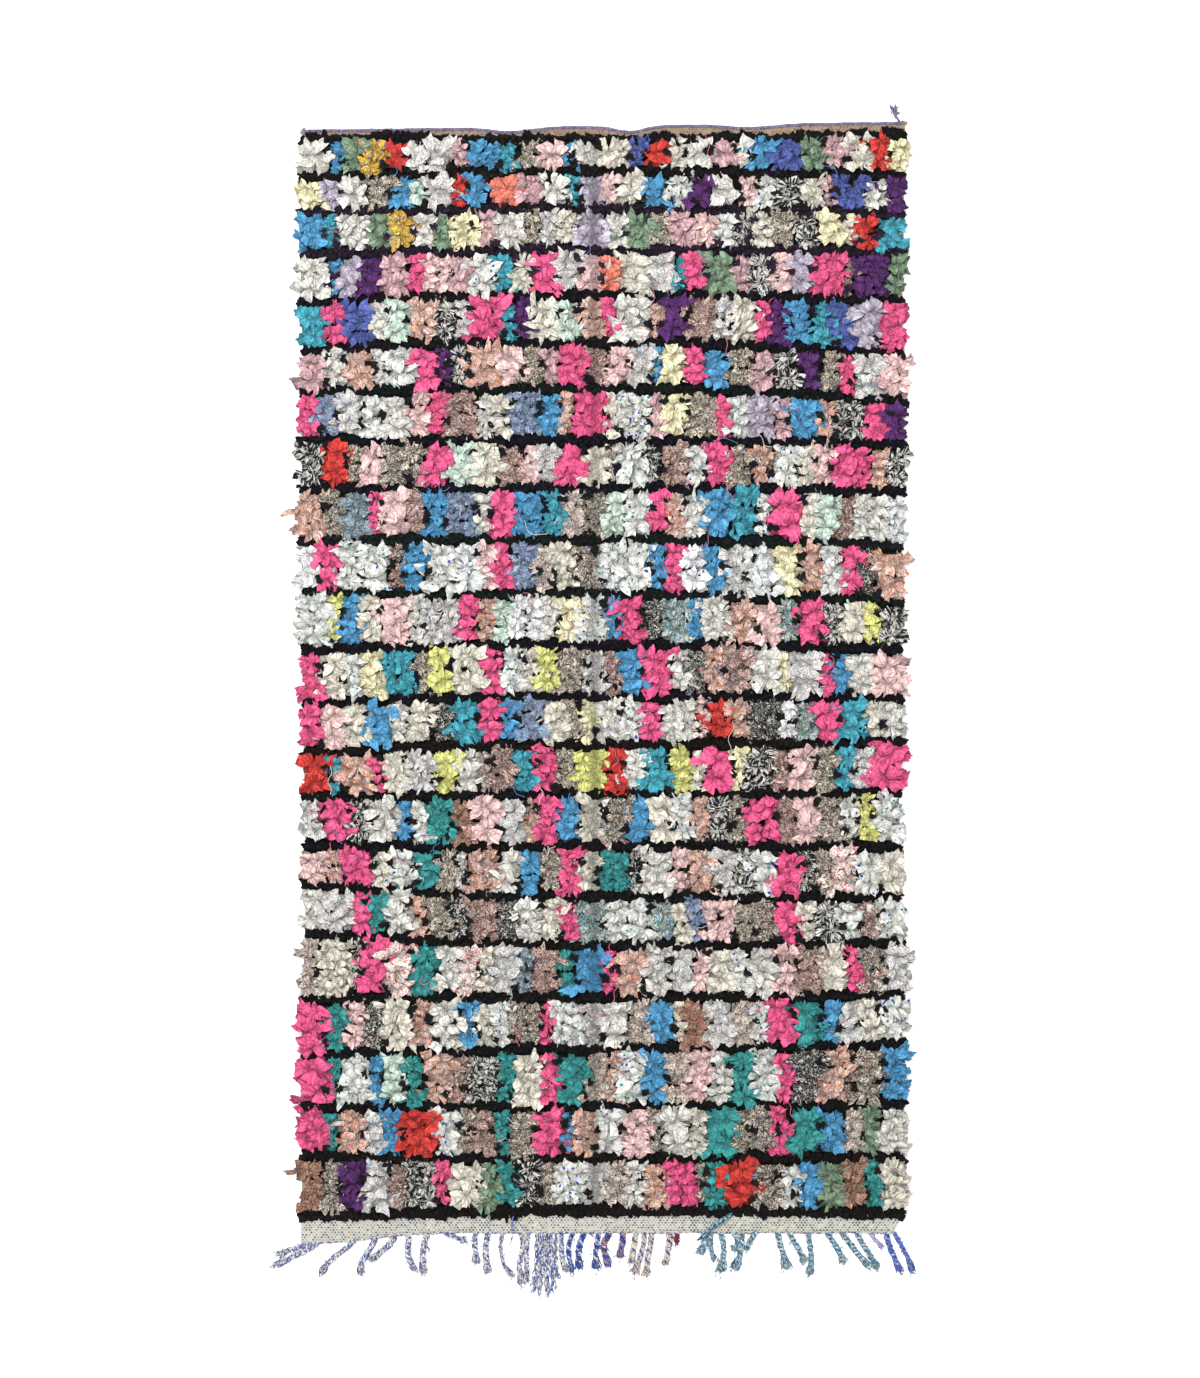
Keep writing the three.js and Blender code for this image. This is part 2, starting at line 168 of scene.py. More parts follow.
class Cloth:
    """Gathers grids of points into one mesh, where every grid is a rag with a material of its own.

    It has two UV maps in metres: Folds runs along and across each rag, from a whole number of steps at
    its root, and Print has the rag cut from its cloth at any angle.
    """

    def __init__(self, rng):
        self.rng = rng
        self.points, self.folds, self.prints, self.faces, self.looks = [], [], [], [], []
        self.count = 0

    def add(self, points, flat, looks):
        """Rags cut at random. points: (n, rows, columns, 3), flat: (n, rows, columns, 2), looks: (n,)."""
        n = len(points)
        flat = flat + self.rng.integers(0, CLOTH_SPREAD // CLOTH_STEP, (n, 1, 1, 2)) * CLOTH_STEP
        angle = self.rng.uniform(0, 2 * math.pi, (n, 1, 1))
        self.gather(points, flat, np.stack(turned(flat[..., 0], flat[..., 1], angle), axis=-1), looks)

    def lay(self, grid, look):
        """One uncut grid of (rows, columns, 3), whose x and y are its places on the cloth."""
        self.gather(grid[None], grid[..., :2], grid[..., :2], [look])

    def gather(self, points, folds, prints, looks):
        n, rows, columns, _ = points.shape
        index = np.arange(rows * columns).reshape(rows, columns)
        quads = np.stack([index[:-1, :-1], index[1:, :-1], index[1:, 1:], index[:-1, 1:]], axis=-1)
        quads = quads.reshape(1, -1, 4) + np.arange(n)[:, None, None] * rows * columns + self.count
        self.points.append(points.reshape(-1, 3))
        self.folds.append(folds.reshape(-1, 2) * MM)
        self.prints.append(prints.reshape(-1, 2) * MM)
        self.faces.append(quads.reshape(-1, 4))
        self.looks.append(np.repeat(looks, quads.shape[1]))
        self.count += n * rows * columns

    def build(self, name, materials):
        points = np.concatenate(self.points) + np.array([*WEB_CENTRE, 0])
        points[:, 2] = np.maximum(points[:, 2], LOWEST)
        faces = np.concatenate(self.faces)
        mesh = bpy.data.meshes.new(name)
        mesh.vertices.add(len(points))
        mesh.vertices.foreach_set("co", (points * MM).astype(np.float32).ravel())
        mesh.loops.add(faces.size)
        mesh.loops.foreach_set("vertex_index", faces.ravel().astype(np.int32))
        mesh.polygons.add(len(faces))
        mesh.polygons.foreach_set("loop_start", np.arange(0, faces.size, 4, dtype=np.int32))
        mesh.polygons.foreach_set("material_index", np.concatenate(self.looks).astype(np.int32))
        mesh.polygons.foreach_set("use_smooth", np.ones(len(faces), bool))
        for layer, uvs in (("Print", self.prints), ("Folds", self.folds)):
            uv = mesh.uv_layers.new(name=layer)
            uv.data.foreach_set("uv", np.concatenate(uvs)[faces.ravel()].astype(np.float32).ravel())
        mesh.update(calc_edges=True)
        mesh.validate()
        mesh.set_sharp_from_angle(angle=CREASE)
        for material in materials:
            mesh.materials.append(material)
        piece = bpy.data.objects.new(name, mesh)
        bpy.context.scene.collection.objects.link(piece)
        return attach(piece, "root")


def column(values):
    """One value for each grid, or one for all, ready to combine with the points of the grids."""
    return np.reshape(values, (-1, 1, 1))


def zigzag(x):
    """A wave with straight flanks and sharp crests, from -1 to 1."""
    return np.arcsin(np.sin(x)) * 2 / math.pi


def waves(rng, n, u, v, along=(-4, 4), scale=1):
    """The angle of a wave over each of n grids, in a random direction and from a random start."""
    slope = column(rng.uniform(*along, n)) / scale * u + column(rng.uniform(-4, 4, n)) / scale * v
    return slope + column(rng.uniform(0, ROUND, n))


def placed(root, heading, out, aside, up):
    """The points out, aside and up from each root, (n, 3), where out is turned to the heading."""
    x, y = turned(out, aside, column(heading))
    return np.stack([column(root[:, 0]) + x, column(root[:, 1]) + y, column(root[:, 2]) + up], axis=-1)


def rag_ends(rng, root, heading, length, width, lift, droop, folds, pleat, crumple, along):
    """Crumpled rag ends: fans that rise from their roots, arch over and end in a ragged cut.

    along: how many quads each has along it. All the rest is one value for each rag end: lift and
    droop are the slope at the root and how far it turns down by the tip, in radians; folds counts
    the creases across it; pleat and crumple are how deep its folds and dents are.
    """
    n = len(root)
    u = np.linspace(0, 1, along + 1)[None, :, None]
    v = np.linspace(-1, 1, END_QUADS + 1)[None, None, :]
    random = lambda low, high: column(rng.uniform(low, high, n))
    length, half, lift, droop = column(length), column(width / 2), column(lift), column(droop)
    pleat, crumple = column(pleat), column(crumple)

    slant, curve = random(-0.2, 0.2), random(-0.1, 0.12)
    cut = slant * v + curve * v * v + rng.uniform(-0.09, 0.09, (n, 1, END_QUADS + 1))
    reach = u * (1 + cut * u)
    turn = lift - droop * reach
    out = length * (np.sin(lift) - np.sin(turn)) / droop
    up = length * (np.cos(turn) - np.cos(lift)) / droop

    narrowing, bend = random(0, 0.1), random(-0.35, 0.35)
    fan = ROOT_WIDE + FAN_OUT * np.sin(np.minimum(u * FAN_FAST, 1) * math.pi / 2) - narrowing * u**4
    aside = v * half * fan + bend * length * u**2

    deepening = SHALLOW + (1 - SHALLOW) * u
    phase, drift, tilt = random(0, ROUND), random(-1.2, 1.2), random(-0.55, 0.55)
    raised = pleat * deepening * zigzag(column(folds) * math.pi / 2 * (v + 1) + phase + drift * u)
    raised = raised + tilt * v * half * u
    for scale in (1, FINER):
        dent = zigzag(waves(rng, n, u, v, (2, 5), scale))
        raised = raised + crumple * scale * dent * deepening
        aside = aside + crumple * 0.6 * scale * dent * u
    out = out - np.sin(turn) * raised
    up = up + np.cos(turn) * raised
    return placed(root, heading, out, aside, up), np.stack([reach * length, v * half + 0 * u], axis=-1)


def direction(path):
    """The way that paths of (..., stations, 2) run at each station."""
    along = np.gradient(path, axis=-2)
    return along / np.maximum(np.linalg.norm(along, axis=-1, keepdims=True), 1e-6)


def distance(path):
    """How far each station of paths of (..., stations, axes) lies along them."""
    steps = np.linalg.norm(np.diff(path, axis=-2), axis=-1)
    return np.concatenate([np.zeros_like(steps[..., :1]), np.cumsum(steps, axis=-1)], axis=-1)


def tubes(paths, radius, sides, squash=1.0):
    """Round yarns along paths of (n, stations, 3). radius: (n, stations). squash: their height beside it."""
    along = direction(paths[..., :2])
    aside = np.stack([along[..., 1], -along[..., 0], np.zeros(along.shape[:2])], axis=-1)[:, :, None]
    turn = np.linspace(0, 2 * math.pi, sides + 1)[None, None, :]
    reach = radius[..., None]
    points = paths[:, :, None] + aside * (np.cos(turn) * reach)[..., None]
    points[..., 2] += np.sin(turn) * reach * squash
    far = distance(paths)[..., None]
    return points, np.stack([far + 0 * turn, turn * reach.max() + 0 * far], axis=-1)


def twisted(path, wide, tall, pitch, plies=2, start=0, low=0.4):
    """The middles of the plies of a flattened cord along path (stations, 2): (plies, stations, 3)."""
    along = direction(path)
    turn = 2 * math.pi * (distance(path) / pitch + start)[None]
    turn = turn + np.arange(plies)[:, None] * 2 * math.pi / plies
    out = np.cos(turn) * wide / 4
    x = path[:, 0] + along[:, 1] * out
    y = path[:, 1] - along[:, 0] * out
    return np.stack([x, y, low + tall / 2 + np.sin(turn) * tall / 4], axis=-1)


# ---- Fabrics ---------------------------------------------------------------------------------

DYE_PATCH = 14  # the size of the patches of paler and stronger dye
RIDGE_LIGHT = 0.04  # painted highlight: how much lighter a rag is painted on the ridges between its creases
SUNK_SHADE = 0.44  # painted shade: how light the lowest cloth is painted beside the highest
SUNK_FROM, SUNK_TO = 6, 21  # the heights of the lowest and the highest cloth, between which the painted shade fades
ROOT_SHADE = 0.82  # painted shade: how light a rag is painted near its root, where other rags crowd round it
ROOT_FROM, ROOT_TO = 3, 11
KNIT, KNIT_DEEP = 1.1, 0.1  # the size of the cloth's grain, and its depth beside the creases'
EDGE = 0.05  # half of the softness of a mark's edge
WEAVE_ACROSS = 7.6  # from one dash of the foot's weave to the next
WEAVE_DOWN = 5.4
DASH_TURNS = (150, 230)  # where along x the dashes turn from the left colour to the right one
WARM_DASH = (176, 116, 88)  # the colour of a few stray dashes


def srgb(colour):
    """A colour of 0 to 255 as a shader takes it."""
    return (*(((c / 255 + 0.055) / 1.055) ** 2.4 if c > 10 else c / 255 / 12.92 for c in colour), 1.0)


def shaded(colour, light):
    return tuple(c * light for c in colour)


class Look:
    """A node material that reads UVs in metres."""

    def __init__(self, sheen=0.08):
        self.material = bpy.data.materials.new("look")
        self.material.use_nodes = True
        self.tree = self.material.node_tree
        self.shader = self.tree.nodes["Principled BSDF"]
        cloth = {"Roughness": 0.95, "Sheen Weight": sheen, "Sheen Roughness": 0.5, "Specular IOR Level": 0.12}
        for name, value in cloth.items():
            self.shader.inputs[name].default_value = value
        self.uv = self.node("UVMap", uv_map="Print")["UV"]
        self.folds = self.node("UVMap", uv_map="Folds")["UV"]

    def node(self, kind, inputs=None, **settings):
        """The outputs of a new node. An input is a socket to link or a value to set."""
        made = self.tree.nodes.new("ShaderNode" + kind)
        for key, value in settings.items():
            setattr(made, key, value)
        for key, value in (inputs or {}).items():
            if isinstance(value, bpy.types.NodeSocket):
                self.tree.links.new(value, made.inputs[key])
            else:
                made.inputs[key].default_value = value
        return made.outputs

    def noise(self, size, detail=2.0, distortion=0.0, place=None):
        """Noise with lumps of that size in millimetres, from 0 to 1."""
        place = self.uv if place is None else place
        values = {"Vector": place, "Scale": 1 / (size * MM), "Detail": detail, "Distortion": distortion}
        return self.node("TexNoise", values)["Fac"]

    def moved(self, place, along=1, by=(0, 0)):
        """Places scaled along the rag, and shifted."""
        return self.node("Mapping", {"Vector": place, "Scale": (along, 1, 1), "Location": (*by, 0)})["Vector"]

    def math(self, operation, a, b=0.0, c=0.0):
        return self.node("Math", {0: a, 1: b, 2: c}, operation=operation)[0]

    def times(self, product, *others):
        for other in others:
            product = self.math("MULTIPLY", product, other)
        return product

    def scaled(self, value, low, high):
        """A value of 0 to 1 as one from low to high."""
        return self.math("MULTIPLY_ADD", value, high - low, low)

    def between(self, value, low, high):
        """0 below low, 1 above high."""
        values = {"Value": value, "From Min": low, "From Max": high}
        return self.node("MapRange", values, interpolation_type="SMOOTHSTEP")["Result"]

    def mix(self, share, under, over, blend="MIX"):
        """A share of over on under. Both are sockets or colours of 0 to 255."""
        under, over = (c if isinstance(c, bpy.types.NodeSocket) else srgb(c) for c in (under, over))
        return self.node("Mix", {0: share, 6: under, 7: over}, data_type="RGBA", blend_type=blend)[2]

    def dots(self, pitch, size, inks, under, keep):
        """Scattered round spots of several inks on under, of which a share is kept."""
        cells = self.node("TexVoronoi", {"Vector": self.uv, "Scale": 1 / (pitch * MM)})
        pick = self.node("SeparateColor", {"Color": cells["Color"]})
        spot = self.math("LESS_THAN", cells["Distance"], size / pitch / 2)
        spot = self.times(spot, self.math("LESS_THAN", pick["Green"], keep))
        ink = inks[0]
        for i, other in enumerate(inks[1:], 1):
            ink = self.mix(self.math("GREATER_THAN", pick["Red"], i / len(inks)), ink, other)
        return self.mix(spot, under, ink)

    def crumple(self, size, stretch):
        """The facets of crumpled cloth, of that size in millimetres.

        How far each place is from the nearest crease, 0 to 0.5, and a random value for its facet.
        """
        warp = self.node("TexNoise", {"Vector": self.folds, "Scale": 0.6 / (size * MM), "Detail": 1.0})
        push = self.node("VectorMath", {0: warp["Color"], "Scale": size * MM * 1.6}, operation="SCALE")
        place = self.node("VectorMath", {0: self.folds, 1: push["Vector"]}, operation="ADD")["Vector"]
        values = {"Vector": self.moved(place, 1 / stretch), "Scale": 1 / (size * MM)}
        edge = self.node("TexVoronoi", values, feature="DISTANCE_TO_EDGE")["Distance"]
        colour = self.node("TexVoronoi", values)["Color"]
        return edge, self.node("SeparateColor", {"Color": colour})["Red"]

    def finish(self, colour, crease=11, stretch=2.2, depth=1.3, shade=0.5, tone=0.1, facets=0.3, sunk=True):
        """Ends the material, with the unevenness of its dye, painted shade and highlights, and its grain.

        crease, stretch and depth: the size of the facets between creases, how much longer they are along
        the rag, and how deep they look. shade, tone and facets: how much darker the creases are painted,
        how much the dye varies, and how much the painted shade varies from facet to facet. sunk: whether
        cloth that lies low or near its root gets painted shade.
        """
        away, facet = self.crumple(crease, stretch)
        # Painted shade in the creases, a painted highlight on the ridges between them, and painted shade that
        # differs from facet to facet.
        line = self.times(
            self.scaled(self.between(away, 0.0, 0.14), 1 - shade, 1),
            self.scaled(self.between(away, 0.1, 0.5), 1, 1 + RIDGE_LIGHT),
            self.scaled(facet, 1, 1 - facets),
        )
        level = self.times(self.scaled(self.noise(DYE_PATCH), 1 - tone, 1 + tone), line)
        if sunk:
            # Painted shade on cloth that lies low in the pile.
            high = self.node("SeparateXYZ", {"Vector": self.node("TexCoord")["Object"]})["Z"]
            low = {"Value": high, "From Min": SUNK_FROM * MM, "From Max": SUNK_TO * MM, "To Min": SUNK_SHADE}
            # Painted shade near a rag's root, where other rags crowd round it.
            far = self.node("SeparateXYZ", {"Vector": self.folds})["X"]
            far = self.math("FRACT", self.math("DIVIDE", far, CLOTH_STEP * MM))
            root = self.between(far, ROOT_FROM / CLOTH_STEP, ROOT_TO / CLOTH_STEP)
            level = self.times(level, self.node("MapRange", low)["Result"], self.scaled(root, ROOT_SHADE, 1))
        grey = self.node("CombineColor", {0: level, 1: level, 2: level})[0]
        self.tree.links.new(self.mix(1.0, colour, grey, "MULTIPLY"), self.shader.inputs["Base Color"])
        height = self.math("MULTIPLY_ADD", self.noise(KNIT, 1), KNIT_DEEP, self.between(away, 0.0, 0.4))
        bump = self.node("Bump", {"Height": height, "Distance": depth * MM, "Strength": 1.0})
        self.tree.links.new(bump["Normal"], self.shader.inputs["Normal"])
        return self.material


def named(prefix, looks):
    """The materials of a table in its order, each named after its key."""
    for name, material in looks.items():
        material.name = f"{prefix}{name}"
    return list(looks.values())


def plain(colour, sheen=0.08, **more):
    return Look(sheen).finish(colour, **more)


def dotted(ground, *inks, pitch, size):
    look = Look()
    return look.finish(look.dots(pitch, size, inks, ground, keep=0.9), shade=0.4)


def marl(light, dark, warm, *flecks, size, share=0.5):
    """Fine speckled knit: light and dark yarn, a warm one, and a few bright flecks."""
    look = Look()
    speck = look.between(look.noise(size, 1.0, 1.2), share - EDGE, share + EDGE)
    third = look.between(look.noise(size * 1.7, 0.0), 0.6, 0.64)
    colour = look.mix(look.times(third, 0.8), look.mix(speck, dark, light), warm)
    if flecks:
        colour = look.dots(15, 6.5, flecks, colour, keep=0.3)
    return look.finish(colour, crease=5, tone=0.08)


def striped(light, dark, pitch, share=0.5):
    """Broken streaks along the rag."""
    look = Look()
    streak = look.noise(pitch / 1.4, 1.0, 0.8, look.moved(look.folds, 0.28))
    light_share = look.between(streak, share - 0.04, share + 0.04)
    return look.finish(look.mix(light_share, dark, light), crease=5, tone=0.08)


def printed(ground, *inks, size, fine=None):
    """Soft patches of several inks on a ground, and fine marks of one more."""
    look = Look()
    colour = ground
    for i, ink in enumerate(inks):
        patch = look.noise(size, 2.5, 1.5, look.moved(look.uv, by=(0.37 * (i + 1), 0.11 * i)))
        colour = look.mix(look.between(patch, 0.54, 0.6), colour, ink)
    if fine:
        colour = look.mix(look.between(look.noise(3.2, 1.0, 1.0), 0.6, 0.66), colour, fine)
    return look.finish(colour, crease=5.5)


def yarn(base, *flecks, share=0.5, size=5.5):
    """A marled yarn: short streaks of other colours in the base."""
    look = Look()
    colour = base
    for i, ink in enumerate(flecks):
        speck = look.noise(size, 1.0, 0.6, look.moved(look.folds, 0.8, (0.31 * i, 0.17 * i)))
        colour = look.mix(look.between(speck, 1 - share - EDGE, 1 - share + 0.03), colour, ink)
    return look.finish(colour, crease=2.6, stretch=1.6, depth=0.6, shade=0.35, sunk=False)


def weave(ground, left_dash, right_dash, strong=1.0):
    """A flat weave with a short dash of warp at every other crossing, some strong and some faint."""
    look = Look()
    xy = look.node("SeparateXYZ", {"Vector": look.folds})
    row = look.math("DIVIDE", xy["Y"], WEAVE_DOWN * MM)
    line = look.math("FLOOR", row)
    place = look.math("ADD", look.math("DIVIDE", xy["X"], WEAVE_ACROSS * MM), look.times(line, 0.5))
    aside, ahead = (
        look.math("ABSOLUTE", look.math("SUBTRACT", look.math("FRACT", cell), 0.5)) for cell in (place, row)
    )
    near = look.math("MULTIPLY_ADD", ahead, 0.7, aside)
    mark = look.between(look.math("SUBTRACT", 0.42, near), -0.05, 0.07)

    cell = look.node("CombineXYZ", {0: look.math("FLOOR", place), 1: line})[0]
    noise = look.node("TexWhiteNoise", {"Vector": cell}, noise_dimensions="2D")
    pick = look.node("SeparateColor", {"Color": noise["Color"]})
    patchy = look.between(look.noise(45, 3), 0.3, 0.75)
    force = look.scaled(look.times(noise["Value"], noise["Value"]), 0.2, 1)
    force = look.times(force, look.scaled(patchy, 0.55, 1))
    force = look.math("MINIMUM", look.times(mark, force, strong), 0.92)

    dash = look.mix(look.between(xy["X"], *(x * MM for x in DASH_TURNS)), left_dash, right_dash)
    dash = look.mix(look.times(look.math("GREATER_THAN", pick["Red"], 0.97), 0.7), dash, WARM_DASH)
    colour = look.mix(look.noise(40, 3), ground, shaded(ground, 0.9))
    colour = look.mix(pick["Blue"], colour, shaded(ground, 0.8))
    colour = look.mix(look.between(look.noise(4.5, 1), 0.5, 0.7), colour, shaded(ground, 0.9))
    colour = look.mix(force, colour, dash)
    return look.finish(
        colour, crease=2.4, stretch=1.5, depth=0.2, shade=0.0, tone=0.06, facets=0.0, sunk=False,
    )


PLAIN_RAGS = {
    "hot_pink": (226, 90, 136), "sky": (84, 152, 196), "turquoise": (72, 160, 178), "jade": (60, 148, 146),
    "cobalt": (84, 98, 164), "purple": (84, 44, 100), "sage": (118, 140, 116), "mint": (190, 208, 194),
    "lime": (212, 212, 130), "butter": (230, 222, 180), "cream": (210, 204, 189), "white": (208, 206, 198),
    "coral": (218, 122, 104), "mauve": (196, 158, 162), "pale_pink": (222, 186, 183),
    "lavender": (178, 168, 184), "red": (196, 60, 54),
}
FINELY_FOLDED = (
    "sky", "turquoise", "jade", "cobalt", "speckle", "fleck", "camel", "zebra", "dark_speckle", "brown_swirl",
    "peach", "teal_print", "rose_speckle", "blue_print", "tie_dye",
)
BROAD_CREASE, FINE_CREASE = 11, 8  # the size of a plain rag's facets
# How each fabric creases: the fewest and most folds a rag end has, how deep they are, and its dents.
BROAD_FOLDS = (1.0, 2.2, 2.8, 0.7)
FINE_FOLDS = (2.2, 3.6, 1.9, 0.9)


def make_fabrics():
    """The materials of the coloured rags, by name. Each pattern's first colour is its ground."""
    return {
        **{name: plain(colour, crease=FINE_CREASE if name in FINELY_FOLDED else BROAD_CREASE)
           for name, colour in PLAIN_RAGS.items()},
        "mustard": printed((206, 164, 50), (226, 206, 120), (120, 96, 130), size=10),
        "dots": dotted((208, 208, 202), (52, 68, 172), (30, 124, 116), pitch=15, size=7),
        "fine_dots": dotted((206, 206, 201), (38, 132, 130), (96, 162, 168), pitch=12, size=5.5),
        "speckle": marl((212, 206, 190), (92, 78, 66), (166, 142, 122), size=4.6),
        "fleck": marl((210, 202, 188), (84, 72, 64), (158, 136, 118), (200, 48, 46), (64, 84, 170), size=4.6),
        "zebra": striped((214, 212, 204), (28, 29, 32), pitch=8),
        "dark_speckle": marl((200, 198, 190), (26, 26, 28), (74, 68, 64), size=4.8, share=0.54),
        "peach": printed(
            (214, 182, 172), (206, 146, 128), (224, 208, 200), (204, 144, 104), size=13, fine=(172, 112, 106),
        ),
        "camel": printed((158, 122, 98), (190, 150, 128), (116, 84, 66), size=6, fine=(222, 168, 170)),
        "brown_swirl": printed((206, 190, 178), (126, 92, 74), (230, 222, 212), size=6, fine=(64, 50, 46)),
        "tie_dye": printed(
            (196, 198, 178), (76, 122, 152), (180, 188, 206), (84, 140, 132), size=10, fine=(52, 92, 120),
        ),
        "blue_print": printed(
            (128, 152, 178), (74, 108, 160), (176, 192, 200), (160, 146, 186), size=9, fine=(58, 120, 124),
        ),
        "red_print": printed((230, 220, 212), (196, 66, 64), size=7),
        "lilac_specks": dotted((230, 228, 226), (170, 160, 206), (152, 196, 188), pitch=10, size=5),
        "teal_print": printed(
            (150, 168, 164), (70, 124, 120), (192, 186, 204), (98, 122, 168), size=8, fine=(44, 72, 72),
        ),
        "rose_speckle": marl((208, 184, 174), (110, 84, 74), (190, 138, 128), size=4.4),
        "grey_print": printed(
            (222, 219, 211), (196, 199, 194), (194, 208, 218), (204, 186, 184), size=9, fine=(122, 118, 114),
        ),
        "blue_stripe": striped((226, 229, 229), (120, 144, 190), pitch=11, share=0.3),
    }


# How often each fabric comes up, from each band on.
ZONES = (
    (0, "turquoise 4 sky 4 cobalt 3 purple 3 lavender 2 mauve 4 pale_pink 4 sage 4 mint 1 white 6 cream 6"
     " grey_print 4 red 3 butter 3 speckle 3 rose_speckle 2 zebra 2 dots 3 fine_dots 1 red_print 1"
     " coral 1 mustard 1"),
    (3, "turquoise 4 sky 4 cobalt 1 purple 2 lavender 2 mauve 4 pale_pink 4 sage 2 mint 2 white 5 cream 5"
     " grey_print 4 red 3 butter 2 speckle 2 rose_speckle 2 zebra 2 dots 2 peach 2 coral 1"),
    (5, "turquoise 4 sky 4 purple 2 lavender 1 mauve 3 pale_pink 4 mint 2 white 5 cream 4 grey_print 4"
     " peach 3 rose_speckle 3 speckle 4 dots 4 fine_dots 2 butter 2 blue_print 1 zebra 1 dark_speckle 1"),
    (7, "sky 5 turquoise 3 white 5 cream 5 grey_print 4 dots 4 fine_dots 2 zebra 3 dark_speckle 2 fleck 4"
     " speckle 3 peach 3 pale_pink 4 mint 2 blue_print 1 teal_print 1 brown_swirl 2 rose_speckle 2"
     " lilac_specks 2 blue_stripe 1 cobalt 1 red 1 butter 1"),
    (10, "sky 5 turquoise 3 lime 4 butter 2 white 5 cream 5 grey_print 4 dots 5 fine_dots 2 zebra 3"
     " dark_speckle 2 fleck 4 speckle 2 peach 3 pale_pink 3 blue_print 1 teal_print 1 brown_swirl 2"
     " tie_dye 2 lilac_specks 2 rose_speckle 2 mint 1 red 1"),
    (14, "jade 4 sky 4 lime 3 butter 1 white 6 cream 6 grey_print 4 dots 5 zebra 3 dark_speckle 1 fleck 4"
     " speckle 2 peach 3 pale_pink 3 blue_print 1 camel 2 tie_dye 2 teal_print 1 red_print 1"
     " fine_dots 3 rose_speckle 2"),
    (17, "jade 4 sky 4 white 6 cream 6 grey_print 4 dots 5 zebra 3 dark_speckle 1 fleck 4 speckle 2"
     " peach 3 pale_pink 3 blue_print 1 camel 4 teal_print 1 red_print 1 fine_dots 3 rose_speckle 2"
     " brown_swirl 2 mint 1"),
    (20, "jade 4 sky 4 camel 4 dots 4 purple 2 red 3 sage 3 white 6 cream 6 grey_print 4 speckle 3 fleck 3"
     " zebra 2 peach 2 pale_pink 3 rose_speckle 2 brown_swirl 2"),
)
# Hot pink comes every so many blocks, from each band on.
PINK_EVERY = ((0, 1000), (3, 6.5), (9, 8), (14, 10), (17, 11))
# The black rags' colours, each from a row on.
ROW_TINTS = (
    (0, (26, 26, 27)), (1, (31, 27, 26)), (2, (48, 36, 52)), (4, (29, 25, 32)), (6, (24, 30, 29)),
    (7, (25, 25, 34)), (9, (26, 34, 33)), (11, (26, 22, 31)), (13, (31, 26, 24)), (14, (25, 25, 28)),
    (16, (27, 26, 27)), (21, (30, 26, 25)),
)


def choose_fabrics(rng, names):
    """The fabric of every block, by band and clump."""
    chosen = np.zeros((BANDS, CLUMPS), int)
    for band in range(BANDS):
        words = [z for first, z in ZONES if first <= band][-1].split()
        pool = [names.index(w) for w in words[::2]]
        share = np.array(words[1::2], float)
        share /= share.sum()
        every = [blocks for first, blocks in PINK_EVERY if first <= band][-1]
        offset = rng.uniform(0, every)
        last, before = -1, -1
        for clump in range(CLUMPS):
            pink = (clump + offset) % every < 1
            pick = names.index("hot_pink") if pink else last
            while pick in (last, before) and not pink:
                pick = pool[rng.choice(len(pool), p=share)]
            chosen[band, clump] = pick
            last, before = pick, last
    return chosen


# ---- The pile --------------------------------------------------------------------------------

KNOT_HIGH = 37  # a knot's usual size along the rug
KNOT_WIDE = 46
KNOT_STRAY, TIER_STRAY = 3.5, 2  # how far a knot strays across and along the rug
TWIN_AT = 0.26  # where the two knots of a block wider than 1.5 knots stand, from its sides
ROW_HALF = 11  # half of a black row's bare width
LEAN = 7  # how far the top of a block may lie aside from its foot
TIER_SHIFT = 5  # how far a stack of knots may be shifted along the rug
FIRST_BAND_HIGHER = 9  # the first band's rags cover most of the row above them
PILE_LOWEST = WEB_THICK + 1  # no coloured rag lies lower
PILE_PIECES = 5
HANG = 2.8  # how much more the rag ends point along the rug than across it
ROOTS_ACROSS, ROOTS_ALONG = 1.45, 0.65  # how a knot's roots are spread beside its outline
STRIP_SHARE, STRIP_LONGER, STRIP_NARROWER = 0.08, 1.3, 0.55  # the rag ends that are narrow strips
END_WIDTHS = (8, 30)  # the narrowest and the widest rag end
BED_HIGH, BED_FALL, BED_DENT = 13, 7, 2.2  # of the mound under a knot: its middle, its sides and its dents
# The parting down the middle of the pile, where the rug was kept folded: its place, its reach to each
# side and the share of the pile's height that is pressed away.
FOLD_X, FOLD_REACH, FOLD_DEEP = -17, 11, 0.9
# The rag ends of a knot, from the outermost to the crown: how many, how far out their roots lie, how
# long and wide they are, all as shares of the knot's half size, lift, droop, height of the roots and
# quads along each.
BROAD_ENDS = (
    (7, 0.4, (0.68, 0.91), (0.72, 1.12), (0.35, 0.75), (0.6, 1.2), 9, 3),
    (5, 0.24, (0.66, 0.93), (0.72, 1.14), (0.5, 0.9), (0.8, 1.5), 13, 3),
    (2, 0.14, (0.65, 0.95), (0.75, 1.1), (0.2, 0.6), (0.5, 1.2), 17, 4),
)
FINE_ENDS = (
    (7, 0.38, (0.7, 0.98), (0.55, 0.9), (0.35, 0.8), (0.6, 1.3), 9, 3),
    (6, 0.15, (0.62, 0.92), (0.55, 0.9), (0.6, 1.1), (1.0, 1.8), 12, 4),
)


